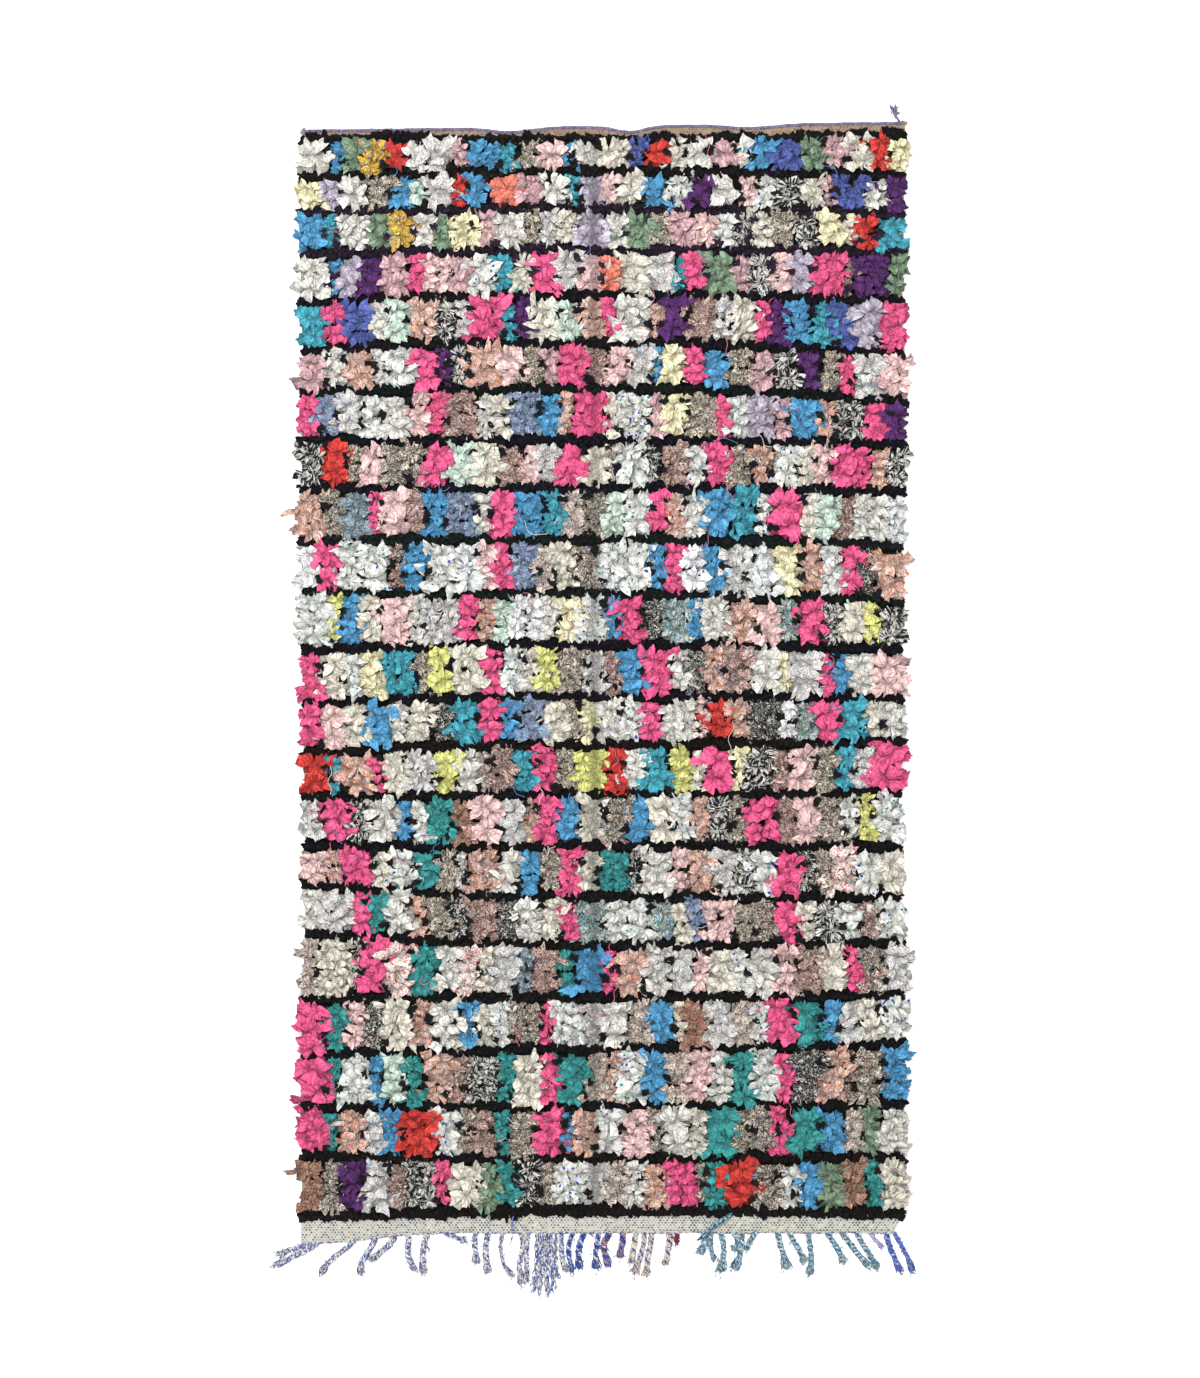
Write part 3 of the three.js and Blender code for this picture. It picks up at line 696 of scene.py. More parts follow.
def knots(rng, fabrics):
    """A row for each rag knot: x, y, half width, half height, pile height and fabric."""
    rows = []
    for band in range(BANDS):
        for clump in range(CLUMPS):
            left, right = clump_edge(band, clump), clump_edge(band, clump + 1)
            shares = [(left + right) / 2]
            if (right - left) * WEB_WIDTH > 1.5 * KNOT_WIDE:
                shares = [left + (right - left) * at for at in (TWIN_AT, 1 - TWIN_AT)]
            half_wide = (right - left) * WEB_WIDTH / 2 / len(shares)
            lean = rng.uniform(-LEAN, LEAN)
            for share in shares:
                x = (share - 0.5) * WEB_WIDTH
                top, foot = black_row(band, x) - ROW_HALF, black_row(band + 1, x) + ROW_HALF
                top += FIRST_BAND_HIGHER if band == 0 else 0
                tiers = max(1, round((top - foot) / KNOT_HIGH + rng.uniform(-0.35, 0.35)))
                shift = rng.uniform(-TIER_SHIFT, TIER_SHIFT)
                for tier in range(tiers):
                    y = top + (foot - top) * (tier + 0.5) / tiers
                    rows.append((
                        x_at(share, y) + lean * ((tier + 0.5) / tiers - 0.5) + rng.normal(0, KNOT_STRAY),
                        y + shift * (tiers > 1) + rng.normal(0, TIER_STRAY),
                        half_wide * rng.uniform(0.9, 1.25),
                        (top - foot) / tiers / 2 * rng.uniform(0.9, 1.1),
                        RAG_PILE + spread(RAG_UNEVEN, band, 2 * clump + 1, 3),
                        fabrics[band, clump],
                    ))
    return np.array(rows)


def tier_of_ends(rng, knot, folding, count, out, reach, size, lift, droop, low, along):
    """count rag ends round every knot. The rest is as in BROAD_ENDS."""
    n = len(knot) * count
    turn = np.arange(count)[None, :] * 2 * math.pi / count + rng.uniform(0, ROUND, (len(knot), 1))
    place = (turn + rng.normal(0, 0.25, turn.shape)).ravel()
    x, y, half_wide, half_high, pile, fabric = np.repeat(knot, count, axis=0).T
    radius = (np.abs(np.cos(place) / half_wide) ** 3 + np.abs(np.sin(place) / half_high) ** 3) ** (-1 / 3)
    strip = rng.random(n) < STRIP_SHARE
    length = radius * rng.uniform(*reach, n) * np.where(strip, STRIP_LONGER, 1)
    root_x = x + np.cos(place) * radius * out * ROOTS_ACROSS + rng.normal(0, 3, n)
    root_y = y + np.sin(place) * radius * out * ROOTS_ALONG + rng.normal(0, 2.5, n)
    root = np.stack([root_x, root_y, low + rng.uniform(-1.5, 1.5, n)], axis=1)
    width = np.clip(radius * rng.uniform(*size, n) * np.where(strip, STRIP_NARROWER, 1), *END_WIDTHS)
    fewest, most, pleat, crumple = folding[fabric.astype(int)].T
    folds = fewest + (most - fewest) * rng.random(n)
    hanging = np.arctan2(np.sin(place) * HANG, np.cos(place))
    points, flat = rag_ends(
        rng, root, hanging + rng.normal(0, 0.4, n), length, width, rng.uniform(*lift, n),
        rng.uniform(*droop, n), folds, pleat * rng.uniform(0.7, 1.3, n), crumple, along,
    )
    points[..., 2] = np.clip(points[..., 2], PILE_LOWEST, column(pile + 4))
    return parted(points), flat, fabric.astype(int)


def parted(points):
    """The pile pressed down along the line where the rug was kept folded."""
    near = hump(points[..., 0], FOLD_X, FOLD_REACH)
    points[..., 2] = PILE_LOWEST + (points[..., 2] - PILE_LOWEST) * (1 - FOLD_DEEP * near)
    return points


def beds(rng, knot):
    """A low crumpled mound of the same rag under every knot."""
    x, y, half_wide, half_high, _, fabric = knot.T
    dent = zigzag(waves(rng, len(knot), PATCH_U, PATCH_V))
    a = PATCH_U * column(half_wide * 0.9) + 0 * PATCH_V + dent
    b = PATCH_V * column(half_high * 0.95) + 0 * PATCH_U - dent
    high = BED_HIGH - BED_FALL * np.maximum(PATCH_U**2, PATCH_V**2) + BED_DENT * dent
    points = np.stack([column(x) + a, column(y) + b, np.maximum(high, PILE_LOWEST)], axis=-1)
    return parted(points), np.stack([a, b], axis=-1), fabric.astype(int)


def pile(rng, fabrics, materials, names):
    """The coloured rags, in pieces of a few bands each."""
    folding = np.array([FINE_FOLDS if name in FINELY_FOLDED else BROAD_FOLDS for name in names])
    rows = knots(rng, fabrics)
    order = np.argsort(-rows[:, 1])
    pieces = []
    for part, share in enumerate(np.array_split(order, PILE_PIECES)):
        knot = rows[share]
        cloth = Cloth(rng)
        cloth.add(*beds(rng, knot))
        fine = folding[knot[:, 5].astype(int), 0] > 1
        for kind, ends in ((~fine, BROAD_ENDS), (fine, FINE_ENDS)):
            for tier in ends:
                cloth.add(*tier_of_ends(rng, knot[kind], folding, *tier))
        pieces.append(cloth.build(f"rag_pile_{part + 1}", materials))
    return pieces


LOOP_PITCH = 13.5  # from one loop of a black row to the next
LOOP_LINES_APART = 10
LOOP_LONG, LOOP_WIDE = (8.5, 11.5), (7, 9.5)  # half of a loop's length and width, from least to most
LOOP_UNEVEN, LOOP_BEND, LOOP_BULGE = 6, 1.8, 0.12  # how much its height, its top and its outline vary
SPOT_CHANCES = (0.2, 0.45, 0.35)  # that a block's edge has no black spot, one or two
SPOT_ENDS = 3  # the rag ends of a spot
SPOT_HIGH = (14, 18)


def black_rows(rng, materials):
    """The rows of black rag between the bands: two staggered lines of small crumpled loops."""
    roots, looks = [], []
    for row in range(ROWS):
        for line in (0, 1):
            x = np.arange(-WEB_WIDTH / 2 + 4 + line * LOOP_PITCH / 2, WEB_WIDTH / 2 - 3, LOOP_PITCH)
            x = x + rng.normal(0, 1.5, len(x))
            y = black_row(row, x) + (line - 0.5) * LOOP_LINES_APART + rng.normal(0, 1.5, len(x))
            x = x_at(x / WEB_WIDTH + 0.5, y)
            roots.append(np.stack([x, y, np.full(len(x), float(WEB_THICK))], axis=1))
            looks.append(np.full(len(x), row_look(row)))
    roots, looks = np.concatenate(roots), np.concatenate(looks)
    n = len(roots)
    high = column(rng.uniform(BLACK_PILE - LOOP_UNEVEN, BLACK_PILE, n) - 1)
    round_off = np.clip(1 - (PATCH_U**4 + PATCH_V**4) / 1.4, -0.2, 1)
    bend = np.sin(waves(rng, n, PATCH_U, PATCH_V))
    turn, long, wide = rng.uniform(0, ROUND, n), rng.uniform(*LOOP_LONG, n), rng.uniform(*LOOP_WIDE, n)
    a = PATCH_U * column(long) * (1 + LOOP_BULGE * bend)
    b = PATCH_V * column(wide) * (1 - LOOP_BULGE * bend)
    points = placed(roots, turn, a, b, high * round_off + LOOP_BEND * bend)
    points[..., 2] = np.maximum(points[..., 2], WEB_THICK + 0.5)
    cloth = Cloth(rng)
    cloth.add(points, np.stack([a, b], axis=-1), looks)
    return cloth.build("black_rows", materials)


def row_look(row):
    """Which of ROW_TINTS a black row has."""
    return max(i for i, (first, _) in enumerate(ROW_TINTS) if first <= row)


def black_spots(rng, materials):
    """Black rag ends that show between the blocks."""
    roots, looks = [], []
    for band in range(BANDS):
        for clump in range(1, CLUMPS):
            for _ in range(rng.choice(3, p=SPOT_CHANCES)):
                x = (clump_edge(band, clump) - 0.5) * WEB_WIDTH + rng.normal(0, 3)
                above, below = black_row(band, x), black_row(band + 1, x)
                y = above + (below - above) * rng.uniform(0.15, 0.9)
                x = x * (side_edge(1, y) - side_edge(-1, y)) / WEB_WIDTH
                roots.append((x, y, rng.uniform(*SPOT_HIGH)))
                looks.append(row_look(band))
    roots, looks = np.array(roots), np.array(looks)
    n = len(roots)
    cloth = Cloth(rng)
    for _ in range(SPOT_ENDS):
        points, flat = rag_ends(
            rng, roots, heading=rng.uniform(0, ROUND, n), length=rng.uniform(6, 15, n),
            width=rng.uniform(10, 20, n), lift=rng.uniform(0.3, 0.9, n), droop=rng.uniform(0.7, 1.4, n),
            folds=rng.uniform(0.5, 2.5, n), pleat=1.8, crumple=1.8, along=3,
        )
        cloth.add(points, flat, looks)
    return cloth.build("black_spots", materials)


# ---- The fringe and the cord along the top --------------------------------------------------

STRIP_DEEP = 7  # the band of weave the strands grow from
STRAND_TALL = 6  # how high a strand stands
LAST_WEFT = 2.0  # half the thickness of the twisted weft along the very foot
CORD_RADIUS = 2.8  # of the cord along the top

# The strands from left to right, by their yarns: where each is rooted, how far it strays sideways a third
# and two thirds of the way down and at its tip, how far down the tip is, and how wide it and its brush are.
STRANDS = (
    ("marl", (
        (-656, -22, -48, -69, 24, 11, 15), (-634, -28, -64, -102, 50, 10, 12),
        (-552, -30, -60, -78, 73, 11, 14), (-507, -14, -30, -30, 79, 12, 15),
        (-464, -11, -32, -56, 54, 12, 12), (-432, -2, 1, 13, 78, 12, 11),
        (-390, -9, -11, -12, 89, 12, 15), (-351, 12, 30, 47, 16, 10, 14), (-283, -2, -1, 1, 68, 11, 15),
        (-255, -5, -5, 1, 89, 12, 15), (-222, -6, 1, 22, 96, 8, 10), (-182, 2, -4, 4, 113, 10, 13),
        (-166, -3, -4, -1, 105, 9, 9),
    )),
    ("loose", (
        (-145, -1, -4, -11, 142, 9, 10), (-134, -2, -4, -9, 145, 9, 10), (-124, -2, -1, 2, 151, 9, 10),
        (-114, -2, 2, 6, 144, 9, 11), (-103, -2, -1, 7, 109, 6, 9),
    )),
    ("marl", ((-91, -1, 2, 11, 86, 10, 12),)),
    ("royal_marl", (
        (-65, -10, -9, -1, 86, 10, 11), (-38, -13, -15, -13, 78, 12, 15), (-8, -5, -7, -6, 79, 10, 18),
    )),
    ("warm_marl", (
        (18, -14, -12, -4, 75, 12, 14), (46, -1, -5, -7, 56, 12, 13),
    )),
    ("tan_marl", (
        (75, -3, -7, -13, 66, 12, 11), (93, -3, -12, -21, 92, 10, 18), (110, -4, -9, -15, 95, 11, 15),
        (148, 1, -4, -9, 70, 12, 13),
    )),
    ("red", ((166, 1, 0, -2, 20, 9, 9),)),
    ("teal", (
        (224, 6, 3, -11, 45, 13, 17), (244, -2, 0, 6, 60, 9, 9), (262, 9, 7, -1, 88, 11, 19),
        (290, 10, 9, 0, 36, 9, 13), (312, -2, -7, -20, 79, 11, 18), (344, -11, -18, -25, 38, 11, 11),
        (391, 6, 15, 22, 82, 11, 22), (418, 11, 25, 31, 66, 11, 15), (460, 4, 7, -1, 92, 11, 15),
        (501, 16, 30, 39, 67, 11, 17), (532, 21, 41, 65, 75, 11, 13), (568, 14, 32, 46, 81, 11, 14),
    )),
    ("lavender", ((596, 9, 19, 29, 31, 8, 9),)),
    ("royal", (
        (634, 7, 19, 33, 85, 11, 13), (652, 16, 31, 41, 86, 9, 13),
    )),
)
# The plies of each kind of strand.
PLIES = {
    "marl": ("cream", "denim", "cream", "denim"),
    "royal_marl": ("royal", "cream", "royal", "navy"),
    "warm_marl": ("royal", "tan", "royal", "plum"),
    "tan_marl": ("sand", "royal", "sand", "cream"),
    "teal": ("teal", "pale_teal", "deep_teal", "pale_teal"),
    "royal": ("royal", "cobalt", "royal", "grey"),
    "lavender": ("lavender", "lavender", "pale_lavender"),
    "red": ("red", "red", "plum"),
    "loose": ("cream", "royal", "cream", "denim", "cream"),
}
# One turn, the thickness and the spread of a strand's plies, beside its width.
PLY_PITCH, PLY_THICK, PLY_SPREAD = 1.9, 0.27, 1.55
BRUSH_YARNS = 11
BRUSH_FROM = 0.66  # where the yarns of a strand's brush start, as a share of its length
LOOSE_YARNS = 5
TIP_FIBRES, SIDE_FIBRES = 6, 14  # the short fibres out of a strand's tip, and along it
# Single yarns that lie across the foot: from (x, y) to (x, y), radius and what they are.
CROSSING_YARNS = (
    (289, -1173, 209, -1236, 4.4, "teal"), (286, -1178, 232, -1216, 3.4, "teal"),
    (-32, -1218, 17, -1261, 1.7, "cream"), (-199, -1176, -204, -1246, 1.9, "denim"),
    (155, -1226, 166, -1236, 2.2, "red"), (-395, -1228, -388, -1262, 2.6, "cream"),
)
# Each yarn: its base and its flecks, their share and their size.
YARNS = {
    "cream": ((222, 217, 203), (78, 98, 168), (60, 66, 98), 0.43, 6),
    "denim": ((84, 106, 178), (50, 58, 100), (216, 212, 200), 0.44, 6),
    "grey": ((134, 136, 146), (214, 210, 198), (58, 70, 120), 0.42, 8),
    "royal": ((52, 84, 172), (168, 172, 190), (34, 46, 100), 0.38, 5),
    "navy": ((40, 52, 108), (70, 92, 168), (176, 174, 172), 0.34, 4),
    "cobalt": ((96, 116, 196), (52, 74, 164), 0.4, 4),
    "tan": ((186, 134, 102), (62, 76, 150), (120, 84, 84), 0.36, 4),
    "plum": ((66, 48, 84), (60, 82, 168), (170, 118, 96), 0.36, 4),
    "sand": ((210, 190, 156), (84, 104, 168), (168, 140, 108), 0.36, 4),
    "teal": ((54, 114, 150), (160, 182, 188), (36, 68, 92), 0.45, 5.5),
    "pale_teal": ((112, 152, 168), (48, 102, 134), (206, 206, 196), 0.45, 5.5),
    "deep_teal": ((34, 78, 106), (98, 148, 172), (188, 190, 180), 0.42, 5.5),
    "lavender": ((158, 146, 192), (182, 172, 206), 0.4, 5.5),
    "pale_lavender": ((188, 180, 208), (160, 150, 190), 0.4, 5.5),
    "red": ((132, 40, 38), (96, 34, 44), 0.4, 5.5),
}
BAND_LOOK = len(YARNS)  # the fringe's last material is the band's


def strand_path(root, high, low, lean, drop, stations, rng):
    """A smooth line from a strand's root through its bends to its tip, with a slight sway."""
    top = foot_edge(root) - GAP - STRIP_DEEP + 2.5
    t = np.linspace(0, 1, stations)
    u = 3 * t
    x = high * u * (u - 2) * (u - 3) / 2 - low * u * (u - 1) * (u - 3) / 2 + lean * u * (u - 1) * (u - 2) / 6
    sway = rng.uniform(0.5, 1.2) * np.sin(t * rng.uniform(6, 13) + rng.uniform(0, 6.3)) * t
    return np.stack([root + x + sway, top - (drop + 2.5) * t], axis=1)


def look_of(name):
    return list(YARNS).index(name)


def fringe(rng, materials):
    """Plied cords with frayed tips, rooted in a band of weave that a twisted weft ends."""
    cloth = Cloth(rng)
    foot_band(cloth)
    for yarns, strands in STRANDS:
        for strand in strands:
            add_strand(rng, cloth, yarns, *strand)
    for x0, y0, x1, y1, radius, name in CROSSING_YARNS:
        t = np.linspace(0, 1, 16)
        sway = radius * 0.9 * np.sin(t * 9 + x0)
        x, y = x0 + (x1 - x0) * t + sway, y0 + (y1 - y0) * t + sway * 0.4
        path = np.stack([x, y, np.interp(y, (-1240, -1220), (6.5, WEB_THICK + 1.5 + radius))], axis=1)
        thick = radius * np.interp(t, (0, 0.12, 0.9, 1), (0.3, 1, 1, 0.4))
        cloth.add(*tubes(path[None], thick[None], 7, 0.7), [look_of(name)])
    return cloth.build("fringe", materials)


def foot_band(cloth):
    """The band of weave that the strands grow from, and the twisted weft that ends it."""
    share = np.linspace(0, 1, 301)
    x = stretched(share, foot_edge((share - 0.5) * WEB_WIDTH))
    edge = foot_edge(x) - 0.05
    last = edge - STRIP_DEEP + 1 + 0.8 * np.sin(x / 3.1) + 0.6 * np.sin(x / 5.3)
    lines = np.array([edge, edge - 0.2, edge - 2, edge - 4, last, last])
    heights = np.array([0.3, 3.9, 4.0, 4.0, 3.0, 0.3])[:, None] + 0 * lines
    band = np.stack([x + 0 * lines, lines, heights], axis=-1)
    cloth.lay(band, BAND_LOOK)
    cloth.lay(band[[-1, 0]], BAND_LOOK)

    x = np.linspace(x[0] + 1, x[-1] - 1, 900)
    ripple = 0.9 * np.sin(x / 3.1) + 0.7 * np.sin(x / 5.3)
    path = np.stack([x, foot_edge(x) - GAP - STRIP_DEEP + LAST_WEFT + 0.4 + ripple * 0.6], axis=1)
    plies = twisted(path, LAST_WEFT * 2, LAST_WEFT * 2, pitch=9, low=1.6)
    cloth.add(*tubes(plies, np.full(plies.shape[:2], LAST_WEFT * 0.62), 5), [look_of("cream")] * 2)


def add_strand(rng, cloth, yarns, root, high, low, lean, drop, wide, brush):
    """One strand: a plied cord that thins towards its tip, with a brush of loose yarns round it."""
    stations = max(12, int(math.hypot(lean, drop) / 3.0))
    path = strand_path(root, high, low, lean, drop, stations, rng)
    t = np.linspace(0, 1, stations)
    kinds = [look_of(name) for name in PLIES[yarns]]
    if yarns == "loose":
        loose_yarns(rng, cloth, path, wide, t, kinds)
        return
    plies = len(kinds)
    thick = wide * PLY_THICK * (1 + rng.normal(0, 0.08, (plies, stations)))
    thick = thick * np.interp(t, (0, 0.1, 0.7, 0.86, 0.95, 1), (0.85, 1, 1.1, 0.75, 0.2, 0.1))
    start = rng.normal(0, 0.05, stations).cumsum()
    cord = twisted(path, wide * PLY_SPREAD, STRAND_TALL * 0.8, wide * PLY_PITCH, plies, start)
    cord[..., :2] += rng.normal(0, wide * 0.07, (plies, stations, 2))
    cloth.add(*tubes(cord, thick, 5, min(1, STRAND_TALL * PLY_THICK / (wide * 0.25))), kinds)
    brush_ends(rng, cloth, path, wide, brush, kinds)
    fray(rng, cloth, path, brush, kinds)


def loose_yarns(rng, cloth, path, wide, t, kinds):
    """A strand that has come untwisted: wavy yarns side by side."""
    n = LOOSE_YARNS
    place = ((np.arange(n) + 0.5) / n - 0.5)[:, None]
    ripples = rng.uniform(3, 7, (n, 1))
    sway = 1.5 * np.sin(ripples * math.pi * t * 2 + rng.uniform(0, ROUND, (n, 1))) * np.minimum(1, 4 * t)
    x = path[:, 0] + place * wide * 1.15 * np.interp(t, (0, 0.5, 1), (1.0, 1.1, 1.3)) + sway
    y = path[0, 1] + (path[:, 1] - path[0, 1]) * rng.uniform(0.88, 1.0, (n, 1))
    z = 2.0 + 1.1 * np.cos(ripples * 2 * t + rng.uniform(0, ROUND, (n, 1)))
    radius = np.full((n, len(t)), 1.45) * np.interp(t, (0, 0.93, 1), (1, 1, 0.3))
    cloth.add(*tubes(np.stack([x, y, z], axis=-1), radius, 5), rng.permutation(kinds)[:n])


def brush_ends(rng, cloth, path, wide, brush, kinds):
    """The untwisted yarns at a strand's tip, which spread as wide as its brush."""
    n, steps = BRUSH_YARNS, 9
    t = np.linspace(0, 1, steps)
    first = rng.uniform(BRUSH_FROM - 0.04, BRUSH_FROM + 0.14, (n, 1))
    last = rng.uniform(0.93, 1.02, (n, 1))
    at = (first + (last - first) * t) * (len(path) - 1)
    whole = np.arange(len(path))
    end_way = path[-1] - path[-4]
    past = np.clip(at - (len(path) - 1), 0, None)[..., None] * end_way / 3
    middle = np.stack([np.interp(at, whole, path[:, 0]), np.interp(at, whole, path[:, 1])], axis=-1) + past
    end_way = end_way / np.linalg.norm(end_way)
    aside = np.array([end_way[1], -end_way[0]])
    place = (np.arange(n) + rng.uniform(0.2, 0.8, n)) / n - 0.5
    far = place[:, None] * (wide + (brush * 1.3 - wide) * np.sin(t * math.pi * 0.62))
    far = far + 0.7 * np.sin(t * rng.uniform(5, 11, (n, 1)) + rng.uniform(0, ROUND, (n, 1)))
    xy = middle + far[..., None] * aside
    z = rng.uniform(1.6, 4.6, (n, 1)) * np.interp(t, (0, 0.4, 1), (1.1, 1, 0.55))
    radius = rng.uniform(1.2, 1.7, (n, 1)) * np.interp(t, (0, 0.15, 0.8, 1), (0.5, 1, 0.9, 0.25))
    cloth.add(*tubes(np.concatenate([xy, z[..., None]], axis=-1), radius, 4), rng.choice(kinds, n))


def fray(rng, cloth, path, wide, kinds):
    """Short loose fibres out of a strand's tip, and a few along it."""
    tip_way = path[-1] - path[-3]
    n = TIP_FIBRES + SIDE_FIBRES
    at = np.concatenate([np.full(TIP_FIBRES, len(path) - 2), rng.integers(2, len(path) - 3, SIDE_FIBRES)])
    turn = np.concatenate([rng.normal(0, 0.35, TIP_FIBRES), rng.normal(0, 1.2, SIDE_FIBRES)])
    heading = np.arctan2(tip_way[1], tip_way[0]) + turn[:, None]
    length = np.concatenate([rng.uniform(5, 12, TIP_FIBRES), rng.uniform(4, 9, SIDE_FIBRES)])[:, None]
    start = path[at] + rng.normal(0, wide * 0.26, (n, 2))
    t = np.linspace(0, 1, 5)[None]
    bend = rng.normal(0, 0.8, (n, 1)) * t
    x = start[:, :1] + np.cos(heading + bend) * length * t
    y = start[:, 1:] + np.sin(heading + bend) * length * t
    z = rng.uniform(1.6, 4.2, (n, 1)) * (1 - 0.5 * t)
    radius = np.broadcast_to(np.interp(t, (0, 0.7, 1), (1.1, 0.8, 0.15)), x.shape)
    cloth.add(*tubes(np.stack([x, y, z], axis=-1), radius, 4), rng.choice(kinds, n))


# The cord's frayed tail, from the web's top right corner. The two tufts of header yarn: the end of the
# cord each is at, where it starts and ends beside that, and how wide it is.
TAIL = ((-10, 0), (-15, 7), (-22, 15), (-25, 22), (-26, 28), (-21, 34))
TUFTS = ((0, (10, -4, -4, 7), 10), (-1, (-6, -10, -1, 9), 8))
CORD, CORD_TAN, HEADER_YARN = range(3)  # the materials of the cord


def top_cord(rng, materials):
    """The twined cord along the top edge, which ends in a frayed tail at the right corner."""
    cloth = Cloth(rng)
    x = np.linspace(side_edge(-1, WEB_LENGTH / 2), side_edge(1, WEB_LENGTH / 2), 900)
    y = top_edge(x) + GAP + CORD_RADIUS + 0.3 * np.sin(x / 7) + 0.25 * np.sin(x / 17)
    plies = twisted(np.stack([x, y], axis=1), CORD_RADIUS * 3.4, CORD_RADIUS * 2, pitch=12)
    cloth.add(*tubes(plies, CORD_RADIUS * rng.uniform(0.75, 1.05, plies.shape[:2]), 5), [CORD, CORD_TAN])

    places = np.array([x[-1], top_edge(x[-1]) + GAP + CORD_RADIUS]) + np.array(TAIL)
    steps = np.linspace(0, 5, 22)
    tail = np.stack([np.interp(steps, np.arange(6), places[:, k]) for k in (0, 1)], axis=1)
    plies = twisted(tail, 5.5, 4.5, pitch=9, start=0.2, low=0.3)
    thick = np.broadcast_to(np.interp(steps, (0, 1, 3, 5), (1.2, 1.5, 2.2, 1.4)), plies.shape[:2])
    cloth.add(*tubes(plies, thick, 6, 0.7), [CORD, CORD])
    brush_ends(rng, cloth, tail, 9, 24, [CORD])
    fray(rng, cloth, tail[6:], 12, [CORD])
    fray(rng, cloth, tail[2:-3], 9, [CORD, CORD_TAN])
    for corner, (x0, y0, x1, y1), wide in TUFTS:
        t = np.linspace(0, 1, 8)
        tuft_x = x[corner] + x0 + (x1 - x0) * t
        tuft = np.stack([tuft_x, top_edge(tuft_x[0]) + y0 + (y1 - y0) * t], axis=1)
        brush_ends(rng, cloth, tuft, wide, wide * 1.3, [HEADER_YARN])
        brush_ends(rng, cloth, tuft[:6], wide, wide * 1.2, [HEADER_YARN])
    return cloth.build("top_cord", materials)


# ---- Ends that stick out ---------------------------------------------------------------------

LOCKS_PER_BAND = 2
LOCK_REACH = (5, 22)  # how far the coloured ends reach past the sides
# The black rag ends past the last row and the first one: the row, which way they point, how far from the
# left and the right side they start, in how many places and how many each, how far they stray from
# there, how far from the row, how high, how far their heading strays, and their length and width.
OUTER_ENDS = (
    (ROWS - 1, -1, 15, 30, 60, 1, 0, (3, 8), (5, 7), 0.5, (6, 13), (9, 18)),
    (ROWS - 1, -1, 15, 45, 6, 2, 5, (2, 6), (5, 7), 0.3, (12, 22), (15, 24)),
    (0, 1, 10, 10, 26, 5, 9, (0, 9), (5, 9), 0.7, (8, 19), (12, 20)),
)


def rim_ends(rng, chosen, names, materials, blacks):
    """Rag ends that reach past the sides, black ones at the rows, and black tags over top and foot."""
    ends = []  # x, y, height, heading, length, width and material of each

    for side, outwards, clump in ((-1, math.pi, 0), (1, 0, CLUMPS - 1)):
        for band in range(BANDS):
            for place in range(LOCKS_PER_BAND):
                reach = LOCK_REACH[0] + (LOCK_REACH[1] - LOCK_REACH[0]) * chance(band, place, 5 + side) ** 2
                share = (place + 0.5 + spread(0.2, band, place, 11 + side)) / LOCKS_PER_BAND
                x = side * WEB_WIDTH / 2
                y = black_row(band, x) * (1 - share) + black_row(band + 1, x) * share
                for _ in range(2):
                    inside = rng.uniform(9, 15)
                    ends.append((
                        side_edge(side, y) - side * inside, y + rng.normal(0, 5), rng.uniform(5, 9),
                        outwards + rng.normal(0, 0.3), reach + inside, rng.uniform(12, 20),
                        chosen[band, clump],
                    ))
        for row in range(ROWS):
            for _ in range(3):
                inside = rng.uniform(6, 12)
                y = black_row(row, side * WEB_WIDTH / 2) + rng.normal(0, 5)
                ends.append((
                    side_edge(side, y) - side * inside, y, rng.uniform(5, 8), outwards + rng.normal(0, 0.35),
                    inside + min(rng.exponential(4) + 1, 13), rng.uniform(7, 14), len(names) + row_look(row),
                ))
    for row, way, left, right, places, each, stray, off, high, turn, length, width in OUTER_ENDS:
        for x in rng.uniform(-WEB_WIDTH / 2 + left, WEB_WIDTH / 2 - right, places):
            for _ in range(each):
                y = black_row(row, x) + way * rng.uniform(*off)
                ends.append((
                    x + (rng.normal(0, stray) if stray else 0), y, rng.uniform(*high),
                    way * math.pi / 2 + rng.normal(0, turn), rng.uniform(*length), rng.uniform(*width),
                    len(names) + row_look(row),
                ))

    *root, heading, length, width, look = np.array(ends).T
    n = len(ends)
    points, flat = rag_ends(
        rng, np.stack(root, axis=1), heading, length, width, lift=rng.uniform(0.1, 0.4, n),
        droop=rng.uniform(0.3, 0.8, n), folds=rng.uniform(1, 3, n), pleat=1.4, crumple=1.2, along=4,
    )
    points[..., 2] = np.maximum(points[..., 2], 1.0)
    cloth = Cloth(rng)
    cloth.add(points, flat, look.astype(int))
    return cloth.build("rim_ends", [*materials, *blacks])


def loose_threads(rng, materials):
    """Thin threads that have worked loose and lie on the pile."""
    n, stations = 70, 18
    t = np.linspace(0, 1, stations)[None]
    heading = rng.uniform(0, ROUND, (n, 1)) + rng.normal(0, 1.2, (n, 1)) * t
    heading = heading + 0.5 * np.sin(t * rng.uniform(5, 14, (n, 1)))
    step = rng.uniform(30, 80, (n, 1)) / stations
    x = rng.uniform(-WEB_WIDTH / 2 + 50, WEB_WIDTH / 2 - 50, (n, 1))
    x = x + np.cumsum(np.cos(heading) * step, axis=1)
    y = rng.uniform(-WEB_LENGTH / 2 + 120, WEB_LENGTH / 2 - 60, (n, 1))
    y = y + np.cumsum(np.sin(heading) * step, axis=1)
    z = RAG_PILE - 1 + 1.5 * np.sin(t * rng.uniform(3, 9, (n, 1)) + rng.uniform(0, ROUND, (n, 1)))
    cloth = Cloth(rng)
    threads = tubes(np.stack([x, y, z], axis=-1), np.full(x.shape, 0.75), 3)
    cloth.add(*threads, rng.integers(0, len(materials), n))
    return cloth.build("loose_threads", materials)


# ---- The web ---------------------------------------------------------------------------------

